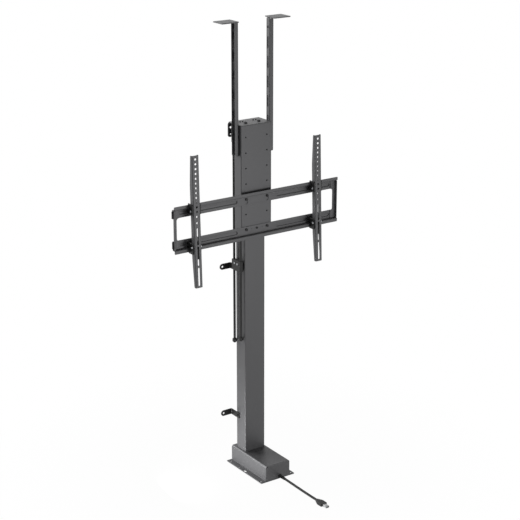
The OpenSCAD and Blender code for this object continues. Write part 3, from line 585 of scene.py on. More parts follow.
def folded(fold, outline, holes, t, edge, put, rings=(), press=None):
    """A folded sheet. Its flat pattern in (u, s) is cut from the outline and the holes,
    triangulated once, laid on both faces at w = +-t/2, and joined by rims with broken edges.
    Every vertex is then carried by the fold: (u, s, w) becomes put(u, p(s, w), q(s, w)).
    press gives an extra w at a point, for beads, and rings are loops that shape them."""
    loops = [cut_at(facing(outline), fold.bends)]
    loops += [cut_at(facing(h, False), fold.bends) for h in holes]
    inner = [shrunk(lp, edge) for lp in loops]
    extra = [facing(np.asarray(r, float)) for r in rings]
    flat = np.concatenate(inner + extra)
    edges, start = [], 0
    for lp in inner + extra:
        k = np.arange(len(lp))
        edges += np.stack([k + start, (k + 1) % len(lp) + start], -1).tolist()
        start += len(lp)
    base = np.concatenate(loops)
    for level in fold.bends:
        on = np.nonzero(np.abs(base[:, 1] - level) < 1e-6)[0]
        on = on[np.argsort(base[on, 0])]
        edges += [[int(a), int(b)] for a, b in zip(on[0::2], on[1::2])]
    out = delaunay_2d_cdt([Vector(p) for p in flat], edges, [], 0, 1e-6)
    where = np.array([o[0] if o else -1 for o in out[3]])
    tri = np.array([f for f in out[2] if len(f) == 3], int)
    if (where < 0).any():
        raise RuntimeError("a flat pattern's lines cross each other")
    tri = where[tri]
    centre = flat[tri].mean(1)
    keep = inside(centre, inner[0])
    for hole in inner[1:]:
        keep &= ~inside(centre, hole)
    tri = tri[keep]
    n, m = len(flat), len(base)
    u, s = np.concatenate([flat, flat, base, base]).T
    w = np.concatenate([np.full(n, t / 2), np.full(n, -t / 2),
                        np.full(m, t / 2 - edge), np.full(m, edge - t / 2)])
    if press is not None:
        w = w + press(u, s)
    rims, start = [], 0
    for lp in loops:
        k = np.arange(len(lp)) + start
        k2 = (np.arange(len(lp)) + 1) % len(lp) + start
        top, high, low, under = (0, 2 * n, 2 * n + m, n)
        for a, b in ((top, high), (high, low), (low, under)):
            rims.append(np.stack([k + a, k + b, k2 + b, k2 + a], -1))
        start += len(lp)
    p, q = fold.at(s, w)
    verts = np.stack(put(u, p, q), -1)
    return verts, [np.concatenate([tri, tri[:, ::-1] + n]), np.concatenate(rims)]


# Where a pattern's u and its line's plane (p, q), or a plate's (u, s, w), lie in x, y and z.


def along_x(u, p, q):
    return u, p, q


def along_y(u, p, q):
    return p, u, q


def along_z(u, p, q):
    return p, q, u


def facing_x(u, s, w):
    return w, u, s


def facing_y(u, s, w):
    return u, w, s


def mirrored(part, axis=0, at=0.0):
    """The part on the other side of the plane where the axis has the value at."""
    verts, groups = part
    verts = np.array(verts)
    verts[:, axis] = 2 * at - verts[:, axis]
    return verts, [g[:, ::-1] for g in groups]


def plate(outline, holes, low, high, put, edge=0.3):
    """A flat plate between two levels. The unbent line reaches PLATE_REACH to both sides, so
    that no point of the outline lies before its start."""
    line = Fold([[-PLATE_REACH, 0], [PLATE_REACH, 0]], 1)
    shift = [0, PLATE_REACH]
    verts, groups = folded(line, outline + shift, [h + shift for h in holes], high - low, edge,
                           along_x)
    return np.stack(put(verts[:, 0], verts[:, 1], verts[:, 2] + (low + high) / 2), -1), groups


# Measures that pieces share, in millimetres and in the frame of the CAD.

SIDES = (-1, 1)
HEAD_FRONT, HEAD_HALF, HEAD_BACK = -35.5, 58.0, 2.5
HEAD_LOW, HEAD_TOP, CAP_TOP, CAP_BACK = 822, 1176, 1178.5, 36
HOLE_X, HOLE_TOP, HOLE_STEP = 40, 1139, 50
BOLT_HIGH, BOLT_LOW = 939, 839
CAP_X, CAP_BOLT_Y, CAP_SCREW_Y, CAP_SCREW_OFF = 25, -12, 12, 5
BAR_SCREW_X, BAR_SCREW_Y, BAR_SCREW_Z = 60.25, -14, (1110, 1165)
RAIL_Y, RAIL_HIGH, LIP_Y, RAIL_WEB, RAIL_MID = -36.5, 951.0, -48.0, 30.0, 885.0
BEAD_LONG, BEAD_HIGH, BEAD_END, BEAD_SLOPE, BEAD_DEEP = 215, 11, 289, 1.2, 3.2
LID_LOW, LID_TOP, PAD_TOP = 1080, 1500, 1503
ARM_FRONT, ARM_TOP, ARM_LONG, ARM_HALF = -74.0, 1118.0, 421.0, 11.5
ARM_SIDES = (("left", -246.0), ("right", 218.0))
LEAN = math.radians(2)
HOOK_SCREW, SCREW_RISE, SCREW_HOLE = 11.0, 58.0, 4.3
CHEEK_IN, CHEEK_OUT = 12.7, 15.7
ROD_X, RODS, ROD_TOP = -48.5, ((21, 438), (-16, 454)), 1142
HOLDER_LOW, HOLDER_TOP = 1115, 1135
LOW_BRACKET_Z, SLIDING_Z = 176, 695
COVER_SCREW_X, COVER_SCREW_Z, COVER_FRONT, COVER_BACK = 28, 15, -157.8, 43.8
RELIEF_PLACE, RELIEF_LONG = (8, -160, 9), 23
PLUG_X, PLUG_Y, PLUG_Z, PLUG_LONG = 10.0, -358, 5.6, 40
ROUTE = [[8, -186, 9], [8, -198, 8.9], [8, -212, 8.7], [8.1, -226, 8.4], [8.2, -240, 8.1],
         [8.3, -254, 7.7], [8.5, -268, 7.3], [8.7, -282, 6.9], [8.9, -296, 6.6], [9.2, -310, 6.2],
         [9.5, -324, 5.9], [9.8, -338, 5.7], [10, -350, 5.6], [10, -358, 5.6]]

# Camera and studio, in metres and watts; the focal length is in widths of the picture and the
# sensor in millimetres.

CAMERA_PLACE = (-2.544, -3.7305, 2.2305)
CAMERA_YAW, CAMERA_PITCH = math.radians(34.69), math.radians(18.5)
CAMERA_FOCAL, CAMERA_SENSOR = 1470 / 520, 36
WHITE = (1, 1, 1, 1)
FLOOR_GREY, FLOOR_HALF, FLOOR_DROP = (0.6, 0.6, 0.6, 1), 40, 0.0002
SHADE_NEAR, SHADE_FAR, SHADE_SHARE = 0.3, 0.9, 0.02
WORLD_FILL = 0.03
AIM_Y, AIM_HIGH = -0.06, 0.9
# Name, place, size and power of each lamp. The front one stands low, like light off a floor.
LAMPS = (("back left", (-3.0, 3.8, 2.3), 2.6, 100),
         ("front right", (1.0, -2.9, 0.15), 0.9, 26),
         ("low left", (-0.35, -0.02, 0.03), 0.1, 1.9),
         ("top", (-1.2, 2.6, 3.2), 1.8, 60))


# Helpers of single pieces.


def sheet_sizes(context):
    """Thickness, bend radius and edge break of the sheets, in millimetres."""
    sizes = context.scene.lift_sizes
    return sizes.sheet / MM, sizes.bend / MM, sizes.edge / MM


def leaning(x, y, z):
    """A point of an upright arm turned by the lean round the middle between the rails:
    y cos a + z sin a, z cos a - y sin a."""
    c, s = math.cos(LEAN), math.sin(LEAN)
    z = z - RAIL_MID
    return np.stack([x, y * c + z * s + ARM_FRONT, z * c - y * s + RAIL_MID], -1)


def keyhole(u, s, narrow, wide, drop=9):
    """A round hole below a slot: the slot's sides meet the circle at equal width."""
    r, h = wide / 2, narrow / 2
    a0 = math.asin(h / r)
    big = np.linspace(np.pi / 2 + a0, 2 * np.pi + np.pi / 2 - a0, 24)
    small = np.linspace(0, np.pi, 12)
    low = np.stack([r * np.cos(big), -drop + r * np.sin(big)], -1)
    high = np.stack([h * np.cos(small), h * np.sin(small)], -1)
    return np.concatenate([low, high]) + [u, s]


def angle_bracket(front, z, gap):
    """An angle bracket on the column's left: a leg along the tube and a round-ended ear."""
    x = -39 - gap - 1.5
    line = Fold([[x, front], [x, 55.5], [x - 41.5, 55.5]], 2.8, 8)
    outline = rectangle(z - 10, 0, z + 10, line.length, [2, 2, 9.98, 9.98], 10)
    holes = [disc(z, line.on(1, 31.5), 7)]
    if gap == 0:
        holes.append(disc(z, line.on(0, 9), 5.3, 20))
    return folded(line, outline, holes, 3, 0.4, along_z)


# Operators.


class LIFT_OT_cable(bpy.types.Operator):
    """Cable, its strain relief and its connector"""

    bl_idname = "lift.cable"
    bl_label = "Cable"

    def execute(self, context):
        d = context.scene.lift_sizes.cable_diameter
        path = spline(ROUTE, 150)
        cable = finish_mesh("cable", swept(path, oval(d / MM, d / MM, sides=20)), "rubber",
                            "column", ["power_cable"])

        # Relief: a taper with five round ribs behind a collar, and a bore for the cable.
        y = np.linspace(0, RELIEF_LONG, 93)
        ribs = 0.4 * np.cos(y / RELIEF_LONG * 10 * np.pi) * np.clip(y / 2, 0, 1)
        taper = np.stack([5.1 - 0.7 * y / RELIEF_LONG + ribs, 3 + y], -1)
        profile = np.concatenate([[(4.0, -6.5), (5.3, -6.5), (5.5, -6.2), (5.5, -0.02), (6.0, 0),
                                   (6.2, 0.3), (6.2, 2.6), (5.9, 3)], taper,
                                  [(4.5, 26), (4.0, 26)]])
        finish_mesh("strain_relief_boot", turned_y(profile, 40, RELIEF_PLACE, -1), "rubber",
                    "column", ["strain_relief"])

        # Connector: sections grow from the cable's round to a flat grip with four ridges.
        t = np.linspace(0, 1, 61)
        grow = np.clip(t * 2.0, 0, 1) ** 0.9
        ridge = 0.35 * np.sin(np.clip((t - 0.45) / 0.4, 0, 1) * 8 * np.pi)
        section = np.stack([oval(9 + 16 * g + k, 9 + 2 * g - 0.1, 2 + 3 * g)
                            for g, k in zip(grow, ridge)])
        section[0] *= 0.94
        section[-1] *= 0.95
        run = np.stack([np.full(61, PLUG_X), PLUG_Y - PLUG_LONG * t, np.full(61, PLUG_Z)], -1)
        plug = finish_mesh("connector_grip", swept(run, section), "black_plastic", "column",
                           ["plug_body"])

        # Connector tip: a rounded sleeve, open at its front, with two contacts inside.
        y = -np.array([398, 398.5, 417.4, 418, 418, 417.4, 402, 402])
        wide = (12.4, 13, 13, 12.6, 11.0, 10.6, 10.6, 0.5)
        high = (6.4, 7, 7, 6.6, 5.0, 4.6, 4.6, 0.2)
        section = np.stack([oval(w, h, 5) for w, h in zip(wide, high)])
        rings = np.stack([section[..., 0] + PLUG_X, np.repeat(y[:, None], 40, 1),
                          section[..., 1] + PLUG_Z], -1)
        sleeve = capped(rings, (PLUG_X, y[0], PLUG_Z), (PLUG_X, y[-1], PLUG_Z))
        tip = finish_mesh("connector_tip", sleeve, "clear_plastic", "column", ["plug_tip"])
        pin = turned([(0, -0.5), (0.9, -0.5), (0.9, 11), (0.5, 12), (0, 12)], 18)
        places = [(PLUG_X + s * 2.5, y[-1], PLUG_Z) for s in SIDES]
        pins = finish_mesh("connector_contacts", aimed(pin, places, (0, -1, 0)), "zinc", "column")
        (path * MM).tolist()
        return {"FINISHED"}


class LIFT_OT_camera(bpy.types.Operator):
    """Camera at the photograph's place"""

    bl_idname = "lift.camera"
    bl_label = "Camera"

    def execute(self, context):
        data = bpy.data.cameras.new("camera")
        data.sensor_width = CAMERA_SENSOR
        data.lens = CAMERA_FOCAL * CAMERA_SENSOR
        data.clip_end = 50
        camera = bpy.data.objects.new("camera", data)
        context.scene.collection.objects.link(camera)
        camera.location = CAMERA_PLACE
        flat = math.cos(CAMERA_PITCH)
        point(camera, Vector((math.sin(CAMERA_YAW) * flat, math.cos(CAMERA_YAW) * flat,
                              -math.sin(CAMERA_PITCH))))
        context.scene.camera = camera
        return {"FINISHED"}


class LIFT_OT_screws(bpy.types.Operator):
    """Every screw and nut that shows"""

    bl_idname = "lift.screws"
    bl_label = "Screws"

    def execute(self, context):
        def put(name, slot, body, node, sets):
            part = join([aimed(*one) for one in sets])
            finish_mesh(name, part, slot, body, [node], angle=35)

        up, front = (0, 0, 1), (0, -1, 0)
        put("cap_bolt_pair", "drive_steel", "head", "cap_bolts",
            [(socket_screw(6, 11, 4, 10.5), [(s * CAP_X, CAP_BOLT_Y, CAP_TOP) for s in SIDES],
              up)])
        put("cap_screw_set", "black_steel", "head", "cap_screws",
            [(socket_screw(3, 5.5, 2, 9.5), [(s * CAP_X + k * CAP_SCREW_OFF, CAP_SCREW_Y, CAP_TOP)
                                             for s in SIDES for k in SIDES], up)])
        bolt_y = HEAD_FRONT - 2
        rows = [(x, bolt_y, z) for x in (-HOLE_X, HOLE_X) for z in (BOLT_HIGH, BOLT_LOW)]
        put("frame_bolt_set", "black_steel", "head", "frame_bolts",
            [(socket_screw(4.7, 9, 3.5, 8), rows, front),
             (socket_screw(4.7, 7, 2.5, 4), [(0, bolt_y, BOLT_LOW)], front),
             (nut(8, 4, 4.8), [(x, HEAD_FRONT + 2, z) for x, _, z in rows], (0, 1, 0))])
        put("bar_screw_set", "zinc", "head", "bar_screws",
            [(socket_screw(5, 10, 3.5, 4.2),
              [(s * BAR_SCREW_X, BAR_SCREW_Y, z) for z in BAR_SCREW_Z], (s, 0, 0))
             for s in SIDES])
        put("bracket_screw_pair", "black_steel", "column", "wall_bracket_screws",
            [(socket_screw(5, 9, 3, 3), [(s * 42, 15, LOW_BRACKET_Z)], (s, 0, 0))
             for s in SIDES])
        put("cover_screw_pair", "black_steel", "column", "cover_screws",
            [(socket_screw(4, 7.5, 2.4, 7), [(s * COVER_SCREW_X, 46, COVER_SCREW_Z)
                                             for s in SIDES], (0, 1, 0))])
        put("clamp_screw_pair", "zinc", "sliding_bracket", "clamp_screws",
            [(socket_screw(3.4, 6, 2.5, 0.4), [(-55.5, y, 718) for y in (-8, 8)], (-1, 0, 0))])
        for side, x in ARM_SIDES:
            put(side + "_arm_screw_set", "zinc", side + "_tv_arm", side + "_arm_screws",
                [(socket_screw(4, 7, 2.5, 6.9),
                  [leaning(x + s * CHEEK_OUT, HOOK_SCREW, RAIL_MID + dz)
                   for dz in (SCREW_RISE, -SCREW_RISE)], (s, 0, 0)) for s in SIDES])
        put("rod_nut_set", "black_steel", "column", "rod_nuts",
            [(nut(13, 11, 8.3, 0.5), [(ROD_X, y, foot + 3) for y, foot in RODS], up),
             (nut(13, 6.5, 8.3, 0.5), [(ROD_X, y, HOLDER_TOP) for y, _ in RODS], up)])
        return {"FINISHED"}


class LIFT_OT_rails(bpy.types.Operator):
    """Upper and lower rail with their pressed beads, and the two end plates"""

    bl_idname = "lift.rails"
    bl_label = "Rails"

    def execute(self, context):
        t, bend, edge = sheet_sizes(context)
        low = RAIL_HIGH - RAIL_WEB
        line = Fold([[RAIL_Y, low], [RAIL_Y, RAIL_HIGH - 1], [LIP_Y, RAIL_HIGH - 1],
                     [LIP_Y, RAIL_HIGH + 10]], bend)
        # One end of the flat pattern: the web's tongue reaches past the lip.
        tongue, lip, web_top = 316, 314, line.on(0, 24)
        end = [[tongue, 2], [tongue, web_top], [lip, web_top + 1], [lip, line.length]]
        radii = [1.5, 0, 0, 3]
        foot = [[lip, 0.01], [-lip, 0.01]]
        outline = round_corners([[-u, s] for u, s in end] + end[::-1] + foot,
                                radii + radii[::-1] + [0, 0])
        beads = [(s * (BEAD_END - BEAD_LONG / 2), line.on(0, RAIL_WEB / 2)) for s in SIDES]
        rings = [capsule(u, s, BEAD_LONG - 2 * k, BEAD_HIGH - 2 * k, 8) for u, s in beads
                 for k in np.linspace(0, BEAD_SLOPE, 5)]
        # w points backwards or forwards by the way the line runs; the beads sink from the front.
        sign = 1 if line.at(np.array([1.0]), 1.0)[0][0] < RAIL_Y else -1

        def press(u, s):
            """A bead: the depth grows by a smooth step with the distance in from its rim."""
            w = np.zeros_like(u)
            for bu, bs in beads:
                past = np.maximum(np.abs(u - bu) - (BEAD_LONG - BEAD_HIGH) / 2, 0)
                k = np.clip((BEAD_HIGH / 2 - np.hypot(past, s - bs)) / BEAD_SLOPE, 0, 1)
                w -= BEAD_DEEP * k * k * (3 - 2 * k)
            return sign * w

        keyholes = [keyhole(s * HOLE_X, line.on(0, BOLT_HIGH - low), 6.4, 11.5) for s in SIDES]
        row = line.on(0, (2 * RAIL_MID - BOLT_LOW) - low)
        holes = [disc(x, row, 5.3) for x in (-HOLE_X, 0, HOLE_X)]
        holes += [disc(x, row, 2.5, 14) for x in (-20, 20)]
        upper, lower = [folded(line, outline, cuts, t, edge, along_x, rings, press)
                        for cuts in (keyholes, holes)]
        finish_sheet("upper_rail_sheet", upper, "head", "upper_rail")
        finish_sheet("lower_rail_sheet", mirrored(lower, 2, RAIL_MID), "head", "lower_rail")

        # End plates: a face with a window's edge, folded forward at its outer side.
        face_y, inner, outer = HEAD_FRONT - 3, -291.5, -311
        face = Fold([[inner, face_y], [outer, face_y], [outer, LIP_Y - 1]], bend)
        z0, z1, end = 821.2, 948.8, face.length
        w0, w1, reach = 848.0, 921.0, face.on(0, 303 + inner) - 3
        outline = round_corners([[z0, 0], [z0, end], [z1, end], [z1, 0], [w1, 0], [w1, reach],
                                 [w0, reach], [w0, 0]], [1, 3, 3, 1, 0, 8, 8, 0])
        part = folded(face, outline, [], t, edge, along_z)
        for side, made in (("left", part), ("right", mirrored(part))):
            finish_sheet(side + "_end_sheet", made, "head", side + "_end_plate")
        return {"FINISHED"}


class LIFT_OT_head(bpy.types.Operator):
    """Head shell and cap"""

    bl_idname = "lift.head"
    bl_label = "Head"

    def execute(self, context):
        t, bend, edge = sheet_sizes(context)
        half = HEAD_HALF - 1
        line = Fold([[-half, HEAD_BACK], [-half, HEAD_FRONT + 1], [half, HEAD_FRONT + 1],
                     [half, HEAD_BACK]], bend)
        columns = (-HOLE_X, HOLE_X)
        holes = [disc(HOLE_TOP - HOLE_STEP * k, line.on(1, half + x), 5.0, 24) for k in range(7)
                 for x in columns]
        holes.append(disc(BOLT_LOW, line.on(1, half), 5.0, 24))
        holes += [disc(z, s, 5.3, 24) for s in (line.on(0, HEAD_BACK - BAR_SCREW_Y),
                                                line.on(2, BAR_SCREW_Y - HEAD_FRONT - 1))
                  for z in BAR_SCREW_Z]
        outline = rectangle(HEAD_LOW, 0, HEAD_TOP, line.length, 2.5)
        finish_sheet("head_sheet", folded(line, outline, holes, t, edge, along_z), "head",
                     "head_shell")

        # Threaded sleeve behind each free hole: ridges on the bore, as |sin| of the depth.
        deep = 6.4
        y = np.linspace(0, deep, 57)
        bore = np.stack([2.0 + 0.25 * np.abs(np.sin(y * np.pi / 0.9)), y], -1)
        section = np.concatenate([bore, [[3.4, deep], [3.4, 2.1], [2.45, 2.1], [2.45, 0.2]]])
        verts, groups = turned_y(section, 20, (0, HEAD_FRONT, 0), 1)
        sleeves = join([(verts + [x, 0, HOLE_TOP - HOLE_STEP * k], groups) for x in columns
                        for k in (0, 1, 2, 3, 5)])
        finish_mesh("threaded_sleeves", sleeves, "black_steel", "head")

        holes = [disc(s * CAP_X, CAP_BOLT_Y, 6.3) for s in SIDES]
        holes += [disc(s * CAP_X + k * CAP_SCREW_OFF, CAP_SCREW_Y, 3.3, 20) for s in SIDES
                  for k in SIDES]
        cap = plate(rectangle(-HEAD_HALF, HEAD_FRONT, HEAD_HALF, CAP_BACK, 2.5), holes, HEAD_TOP,
                    CAP_TOP, along_x, 0.5)
        finish_sheet("cap_sheet", cap, "head", "top_cap")
        return {"FINISHED"}


class LIFT_OT_lid_bars(bpy.types.Operator):
    """The two slotted bars with their pads"""

    bl_idname = "lift.lid_bars"
    bl_label = "Lid Bars"

    def execute(self, context):
        t, _, edge = sheet_sizes(context)
        web, lips, front, back = 59.2, 72.2, -23, -5
        line = Fold([[lips, front], [web, front], [web, back], [lips, back]], 2.4, 8)
        mid = line.on(1, 9)
        holes = [capsule(1114.5 + 62 * k, mid, 38, 7, 8) for k in range(6)]
        holes.append(disc(1472, mid, 8))
        bar = folded(line, rectangle(LID_LOW, 0, LID_TOP, line.length, [3, 1, 1, 3]), holes, t,
                     edge, along_z)
        pad = plate(rectangle(65.2, -39.5, 127.2, 13.5, 3), [], LID_TOP, PAD_TOP, along_x, 0.4)
        part = assembled([bar, pad])
        for side, made in (("right", part), ("left", mirrored(part))):
            finish_sheet(side + "_lid_bar_sheet", made, side + "_lid", side + "_lid_bar")
        return {"FINISHED"}


class LIFT_OT_arms(bpy.types.Operator):
    """The two television arms"""

    bl_idname = "lift.arms"
    bl_label = "Arms"

    def execute(self, context):
        t, bend, edge = sheet_sizes(context)
        flange, web = 17.5, 1
        line = Fold([[-ARM_HALF, flange], [-ARM_HALF, web], [ARM_HALF, web], [ARM_HALF, flange]],
                    bend)
        n, mid, foot = line.length, line.on(1, ARM_HALF), -ARM_LONG
        # Flat pattern: flanges tapered over 95 mm at both ends, with a notch under the rail.
        taper, cut_high, cut_low, cut_deep, narrow = 95, -301.5, -306.5, 11.5, 7.5
        first = [[foot, narrow], [foot + taper, 0], [cut_low, 0], [cut_low, cut_deep],
                 [cut_high, cut_deep], [cut_high, 0], [-taper, 0], [0, narrow]]
        outline = round_corners(first + [[u, n - s] for u, s in first[::-1]],
                                [3, 6, 0.6, 1, 1, 0.6, 6, 3] * 2)
        holes = [disc(-12 - 15 * k, mid, 7) for k in range(13)] + [disc(-212, mid, 7)]
        holes += [capsule(-(a + b) / 2, mid, b - a, 6, 8)
                  for a, b in ((228, 283), (287, 349), (356, 415))]
        holes += [disc(RAIL_MID + dz - ARM_TOP, s, SCREW_HOLE, 20)
                  for dz in (SCREW_RISE, -SCREW_RISE)
                  for s in (line.on(0, flange - HOOK_SCREW), line.on(2, HOOK_SCREW - web))]
        verts, groups = folded(line, outline, holes, t, edge, along_z)
        for side, x in ARM_SIDES:
            v = leaning(verts[:, 0] + x, verts[:, 1], verts[:, 2] + ARM_TOP)
            finish_sheet(side + "_arm_sheet", (v, groups), side + "_tv_arm", side + "_arm")
        return {"FINISHED"}


class LIFT_OT_base(bpy.types.Operator):
    """Floor plate"""

    bl_idname = "lift.base"
    bl_label = "Base"

    def execute(self, context):
        half, front, back, thick, hole_x, hole_d = 67, -160, 47, 3, 60, 7
        holes = [disc(s * hole_x, y, hole_d) for s in SIDES for y in (32, -148)]
        holes += [capsule(s * hole_x, -55, hole_d, 16) for s in SIDES]
        floor = plate(rectangle(-half, front, half, back, 3), holes, 0, thick, along_x, 0.5)
        # Two tabs stand up from it for the screws of the cover's back.
        tab_half, tab_top, tab_front, tab_back = 7, 23, 41.8, 43.8
        tabs = [plate(rectangle(x - tab_half, thick, x + tab_half, tab_top, [0, 0, 2, 2]),
                      [disc(x, COVER_SCREW_Z, SCREW_HOLE, 20)], tab_front, tab_back, facing_y)
                for x in (-COVER_SCREW_X, COVER_SCREW_X)]
        finish_sheet("floor_sheet", assembled([floor, *tabs]), "column", "base_plate")
        return {"FINISHED"}


class LIFT_OT_cover(bpy.types.Operator):
    """Folded motor cover: a channel with a front and a back flap"""

    bl_idname = "lift.cover"
    bl_label = "Motor Cover"

    def execute(self, context):
        t, seam, half, low, high = 2, 0.06, 46.5, 3, 55
        channel = Fold([[-half, low], [-half, high], [half, high], [half, low]], 5.0, 10)
        # The tube stands in an opening of the top.
        middle, open_x, open_y = channel.on(1, half), 39.4, 26.4
        opening = rectangle(-open_y, middle - open_x, open_y, middle + open_x, 3)
        parts = [folded(channel, rectangle(COVER_FRONT, 0, COVER_BACK, channel.length, 0),
                        [opening], t, seam, along_y)]
        # The flaps' flat pattern has slits at its upper corners, and the front one an arch.
        flap = Fold([[COVER_FRONT, high], [-159, high], [-159, low]], 1.1)
        bent, end, top_x, side_x = flap.bends[-1], flap.length, 41.4, 45.9
        top = [[-top_x, 0], [top_x, 0], [top_x, bent], [side_x, bent + 4.6], [side_x, end]]
        left = [[-side_x, end], [-side_x, bent + 4.6], [-top_x, bent]]
        arch_top = flap.on(1, 40)
        arch = [[14, end], [14, arch_top], [2, arch_top], [2, end]]
        front = round_corners(top + arch + left, [0, 0, 0, 4, 1, 0, 5.9, 5.9, 0, 1, 4, 0], 8)
        parts.append(folded(flap, front, [], t, seam, along_x))
        back = round_corners(top + left, [0, 0, 0, 4, 1, 1, 4, 0], 8)
        holes = [disc(s * COVER_SCREW_X, flap.on(1, 40), SCREW_HOLE, 20) for s in SIDES]
        between = (COVER_FRONT + COVER_BACK) / 2
        parts.append(mirrored(folded(flap, back, holes, t, seam, along_x), 1, between))
        finish_sheet("motor_cover_sheet", assembled(parts), "column", "base_cover")
        return {"FINISHED"}


class LIFT_OT_brackets(bpy.types.Operator):
    """Wall brackets, the sliding bracket and its block, the rods and the plate behind the top"""

    bl_idname = "lift.brackets"
    bl_label = "Wall Brackets"

    def execute(self, context):
        part = angle_bracket(6, LOW_BRACKET_Z, 0)
        for side, made in (("left", part), ("right", mirrored(part))):
            finish_sheet("lower_" + side + "_angle", made, "column", "lower_bracket_" + side,
                         "black_steel")
        finish_sheet("sliding_angle", angle_bracket(15, SLIDING_Z, 0.3), "sliding_bracket",
                     "clamp_bracket", "black_steel")

        # Two blocks hold both rods: one slides on them and they hang in the other.
        for name, body, node, low, high, x0, x1, edge in (
                ("sliding_block", "sliding_bracket", "clamp_block", 693, 728, -55.5, -42.3, 0.7),
                ("rod_block", "column", "rod_holder", HOLDER_LOW, HOLDER_TOP, -54, -39.2, 0.4)):
            bores = [disc(ROD_X, y, 8.3) for y, _ in RODS]
            block = plate(rectangle(x0, -22, x1, 27, 2.5), bores, low, high, along_x, edge)
            finish_sheet(name, block, body, node, "black_plastic")

        # The plate behind the top, and the two legs that hold it to the tube.
        half, ear_x, front, back = 47, 37, 54, 57
        face = plate(rectangle(-half, 1123, half, 1171, 7),
                     [disc(s * ear_x, z, d) for s in SIDES for z, d in ((1154, 7), (1132, 4.5))],
                     front, back, facing_y, 0.4)
        leg_x, leg_half, tube_back = 29.5, 1.5, 26
        legs = [plate(rectangle(tube_back, 1124, front, 1150, 1), [], s * leg_x - leg_half,
                      s * leg_x + leg_half, facing_x) for s in SIDES]
        finish_sheet("top_wall_sheet", assembled([face, *legs]), "column", "top_wall_bracket")
        for name, (y, foot) in zip(("guide_rod_rear", "guide_rod_front"), RODS):
            long = ROD_TOP - foot
            rod = turned([(0, 0), (3.4, 0), (4, 0.6), (4, long - 0.6), (3.4, long), (0, long)], 40)
            finish_mesh(name + "_bar", aimed(rod, [(ROD_X, y, foot)], (0, 0, 1)), "black_steel",
                        "column", [name], angle=35)
        return {"FINISHED"}


class LIFT_OT_hooks(bpy.types.Operator):
    """The arms' cheeks, whose claws follow the rails' section"""

    bl_idname = "lift.hooks"
    bl_label = "Hooks"

    def execute(self, context):
        low, lip, tip, top = 931.0, -49.4, 961.4, 965.4
        claw = round_corners([[-70, low], [-37.9, low], [-37.9, 948.6], [lip, 948.6], [lip, tip],
                              [-46.6, tip], [-46.6, 953], [-43.6, 953], [-43.6, 963.4],
                              [-45.6, top], [-67, top], [-70, 962.4]],
                             [2.5, 1.5, 0.8, 0.8, 0.4, 0.4, 0.8, 1, 0.8, 1, 3, 2])
        tie = rectangle(-44, 932, -38.1, 948.4, 1.5)
        # The strap behind an arm's slots: a channel whose flanges reach up past its web.
        half, flange, web, notch = 9.55, 15, 4.5, 8.4
        line = Fold([[-half, flange], [-half, web], [half, web], [half, flange]], 1.6)
        n, z0, z1, z2 = line.length, 788.5, 820.5, 831.5
        shape = round_corners([[z0, 0], [z2, 0], [z2, notch], [z1, notch], [z1, n - notch],
                               [z2, n - notch], [z2, n], [z0, n]],
                              [1.5, 1.5, 1, 0.3, 0.3, 1, 1.5, 1.5])
        holes = [disc(RAIL_MID - SCREW_RISE, s, SCREW_HOLE, 20)
                 for s in (flange - HOOK_SCREW, line.on(2, HOOK_SCREW - web))]
        strap, strap_faces = folded(line, shape, holes, 1.5, 0.2, along_z)
        for side, x in ARM_SIDES:
            parts = [(leaning(strap[:, 0] + x, strap[:, 1], strap[:, 2]), strap_faces)]
            for way in (1, -1):
                turn, lift = [1, way], [0, (1 - way) * RAIL_MID]
                hole = disc(*leaning(x, HOOK_SCREW, RAIL_MID + way * SCREW_RISE)[1:],
                            SCREW_HOLE, 20)
                for s in SIDES:
                    near, far = sorted((x + s * CHEEK_IN, x + s * CHEEK_OUT))
                    parts.append(plate(claw * turn + lift, [hole], near, far, facing_x, 0.4))
                parts.append(plate(tie * turn + lift, [], x - CHEEK_IN, x + CHEEK_IN, facing_x,
                                   0.02))
            finish_sheet(side + "_hook_set", assembled(parts), side + "_tv_arm",
                         side + "_hooks", "black_steel")
        return {"FINISHED"}


class LIFT_OT_frame_finishes(bpy.types.Operator):
    """Finishes of the CAD pieces that stay"""

    bl_idname = "lift.frame_finishes"
    bl_label = "Frame Finishes"

    def execute(self, context):
        slots = {s["node"]: s["material_slot"] for s in frame["record"]["subparts"]}
        for name, piece in frame["nodes"].items():
            piece.data.materials.clear()
            piece.data.materials.append(bpy.data.materials[slots[name]])
        return {"FINISHED"}


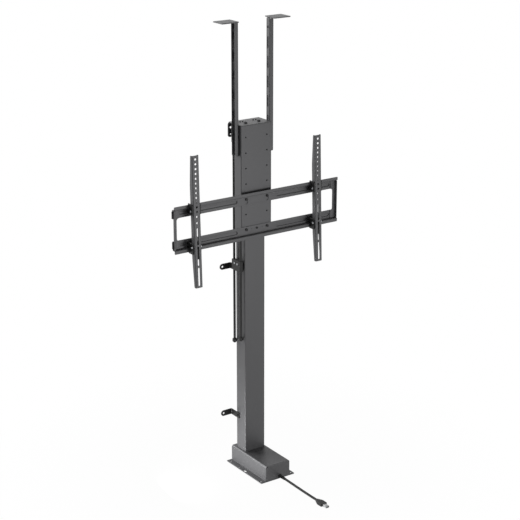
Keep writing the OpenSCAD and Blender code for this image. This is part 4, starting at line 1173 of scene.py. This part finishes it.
class LIFT_OT_stage(bpy.types.Operator):
    """Floor, world and lamps of a plain studio"""

    bl_idname = "lift.stage"
    bl_label = "Stage"

    def execute(self, context):
        scene = context.scene
        scene.view_settings.view_transform = "Standard"
        f = Finish("floor")
        f.set(Base_Color=FLOOR_GREY, Roughness=0.9, Specular_IOR_Level=0.0)
        glow = f.node("ShaderNodeEmission", None, {0: WHITE, 1: 1.0})
        # The floor is plain white from SHADE_FAR on, and takes a soft shadow nearer by.
        reach = f.node("ShaderNodeVectorMath", {"operation": "LENGTH"}, {0: f.place()}, out=1)
        plain = reach.clamp(SHADE_NEAR, SHADE_FAR) * SHADE_SHARE + (1 - SHADE_SHARE)
        mix = f.node("ShaderNodeMixShader", None,
                     {0: f.seen() * plain, 1: Wire(f, f.shader.outputs[0]), 2: glow})
        f.feed(f.output.inputs[0], mix)
        h = FLOOR_HALF
        mesh = bpy.data.meshes.new("floor")
        mesh.from_pydata([(-h, -h, 0), (h, -h, 0), (h, h, 0), (-h, h, 0)], [], [(0, 1, 2, 3)])
        floor = bpy.data.objects.new("floor", mesh)
        mesh.materials.append(f.material)
        scene.collection.objects.link(floor)
        floor.location.z = -FLOOR_DROP

        world = bpy.data.worlds.new("studio")
        world.use_nodes = True
        scene.world = world
        sky = Nodes(world.node_tree)
        strength = sky.node("ShaderNodeMapRange", {"clamp": True},
                            {"Value": sky.seen(), "To Min": WORLD_FILL, "To Max": 1.0})
        back = sky.node("ShaderNodeBackground", None, {"Color": WHITE, "Strength": strength})
        sky.feed(sky.tree.nodes.new("ShaderNodeOutputWorld").inputs[0], back)
        for name, place, size, power in LAMPS:
            lamp = bpy.data.lights.new(name, "AREA")
            lamp.size, lamp.energy = size, power
            held = bpy.data.objects.new(name, lamp)
            held.location = place
            held.visible_camera = False
            point(held, Vector((0, AIM_Y, min(AIM_HIGH, place[2]))) - Vector(place))
            scene.collection.objects.link(held)
        return {"FINISHED"}


class LIFT_PT_panel(bpy.types.Panel):
    """Lists the builders and their settings"""

    bl_idname = "LIFT_PT_panel"
    bl_label = "Lift Column"
    bl_space_type = "VIEW_3D"
    bl_region_type = "UI"
    bl_category = "Lift"

    def draw(self, context):
        for group in (context.scene.lift_sizes, context.scene.lift_colours):
            for name in group.bl_rna.properties.keys():
                if name not in ("rna_type", "name"):
                    self.layout.prop(group, name)
        for builder in BUILDERS:
            self.layout.operator(builder.bl_idname)


BUILDERS = (LIFT_OT_camera, LIFT_OT_cable, LIFT_OT_frame_finishes, LIFT_OT_base, LIFT_OT_cover,
            LIFT_OT_head, LIFT_OT_rails, LIFT_OT_lid_bars, LIFT_OT_arms, LIFT_OT_hooks,
            LIFT_OT_brackets, LIFT_OT_screws, LIFT_OT_stage)
CLASSES = (LiftSizes, LiftColours, *BUILDERS, LIFT_PT_panel)


def register():
    for made in CLASSES:
        bpy.utils.register_class(made)
    bpy.types.Scene.lift_sizes = PointerProperty(type=LiftSizes)
    bpy.types.Scene.lift_colours = PointerProperty(type=LiftColours)


def unregister():
    del bpy.types.Scene.lift_sizes
    del bpy.types.Scene.lift_colours
    for made in reversed(CLASSES):
        bpy.utils.unregister_class(made)


def main():
    register()
    finishes()
    for builder in BUILDERS:
        group, name = builder.bl_idname.split(".")
        getattr(getattr(bpy.ops, group), name)()


if __name__ == "__main__":
    main()
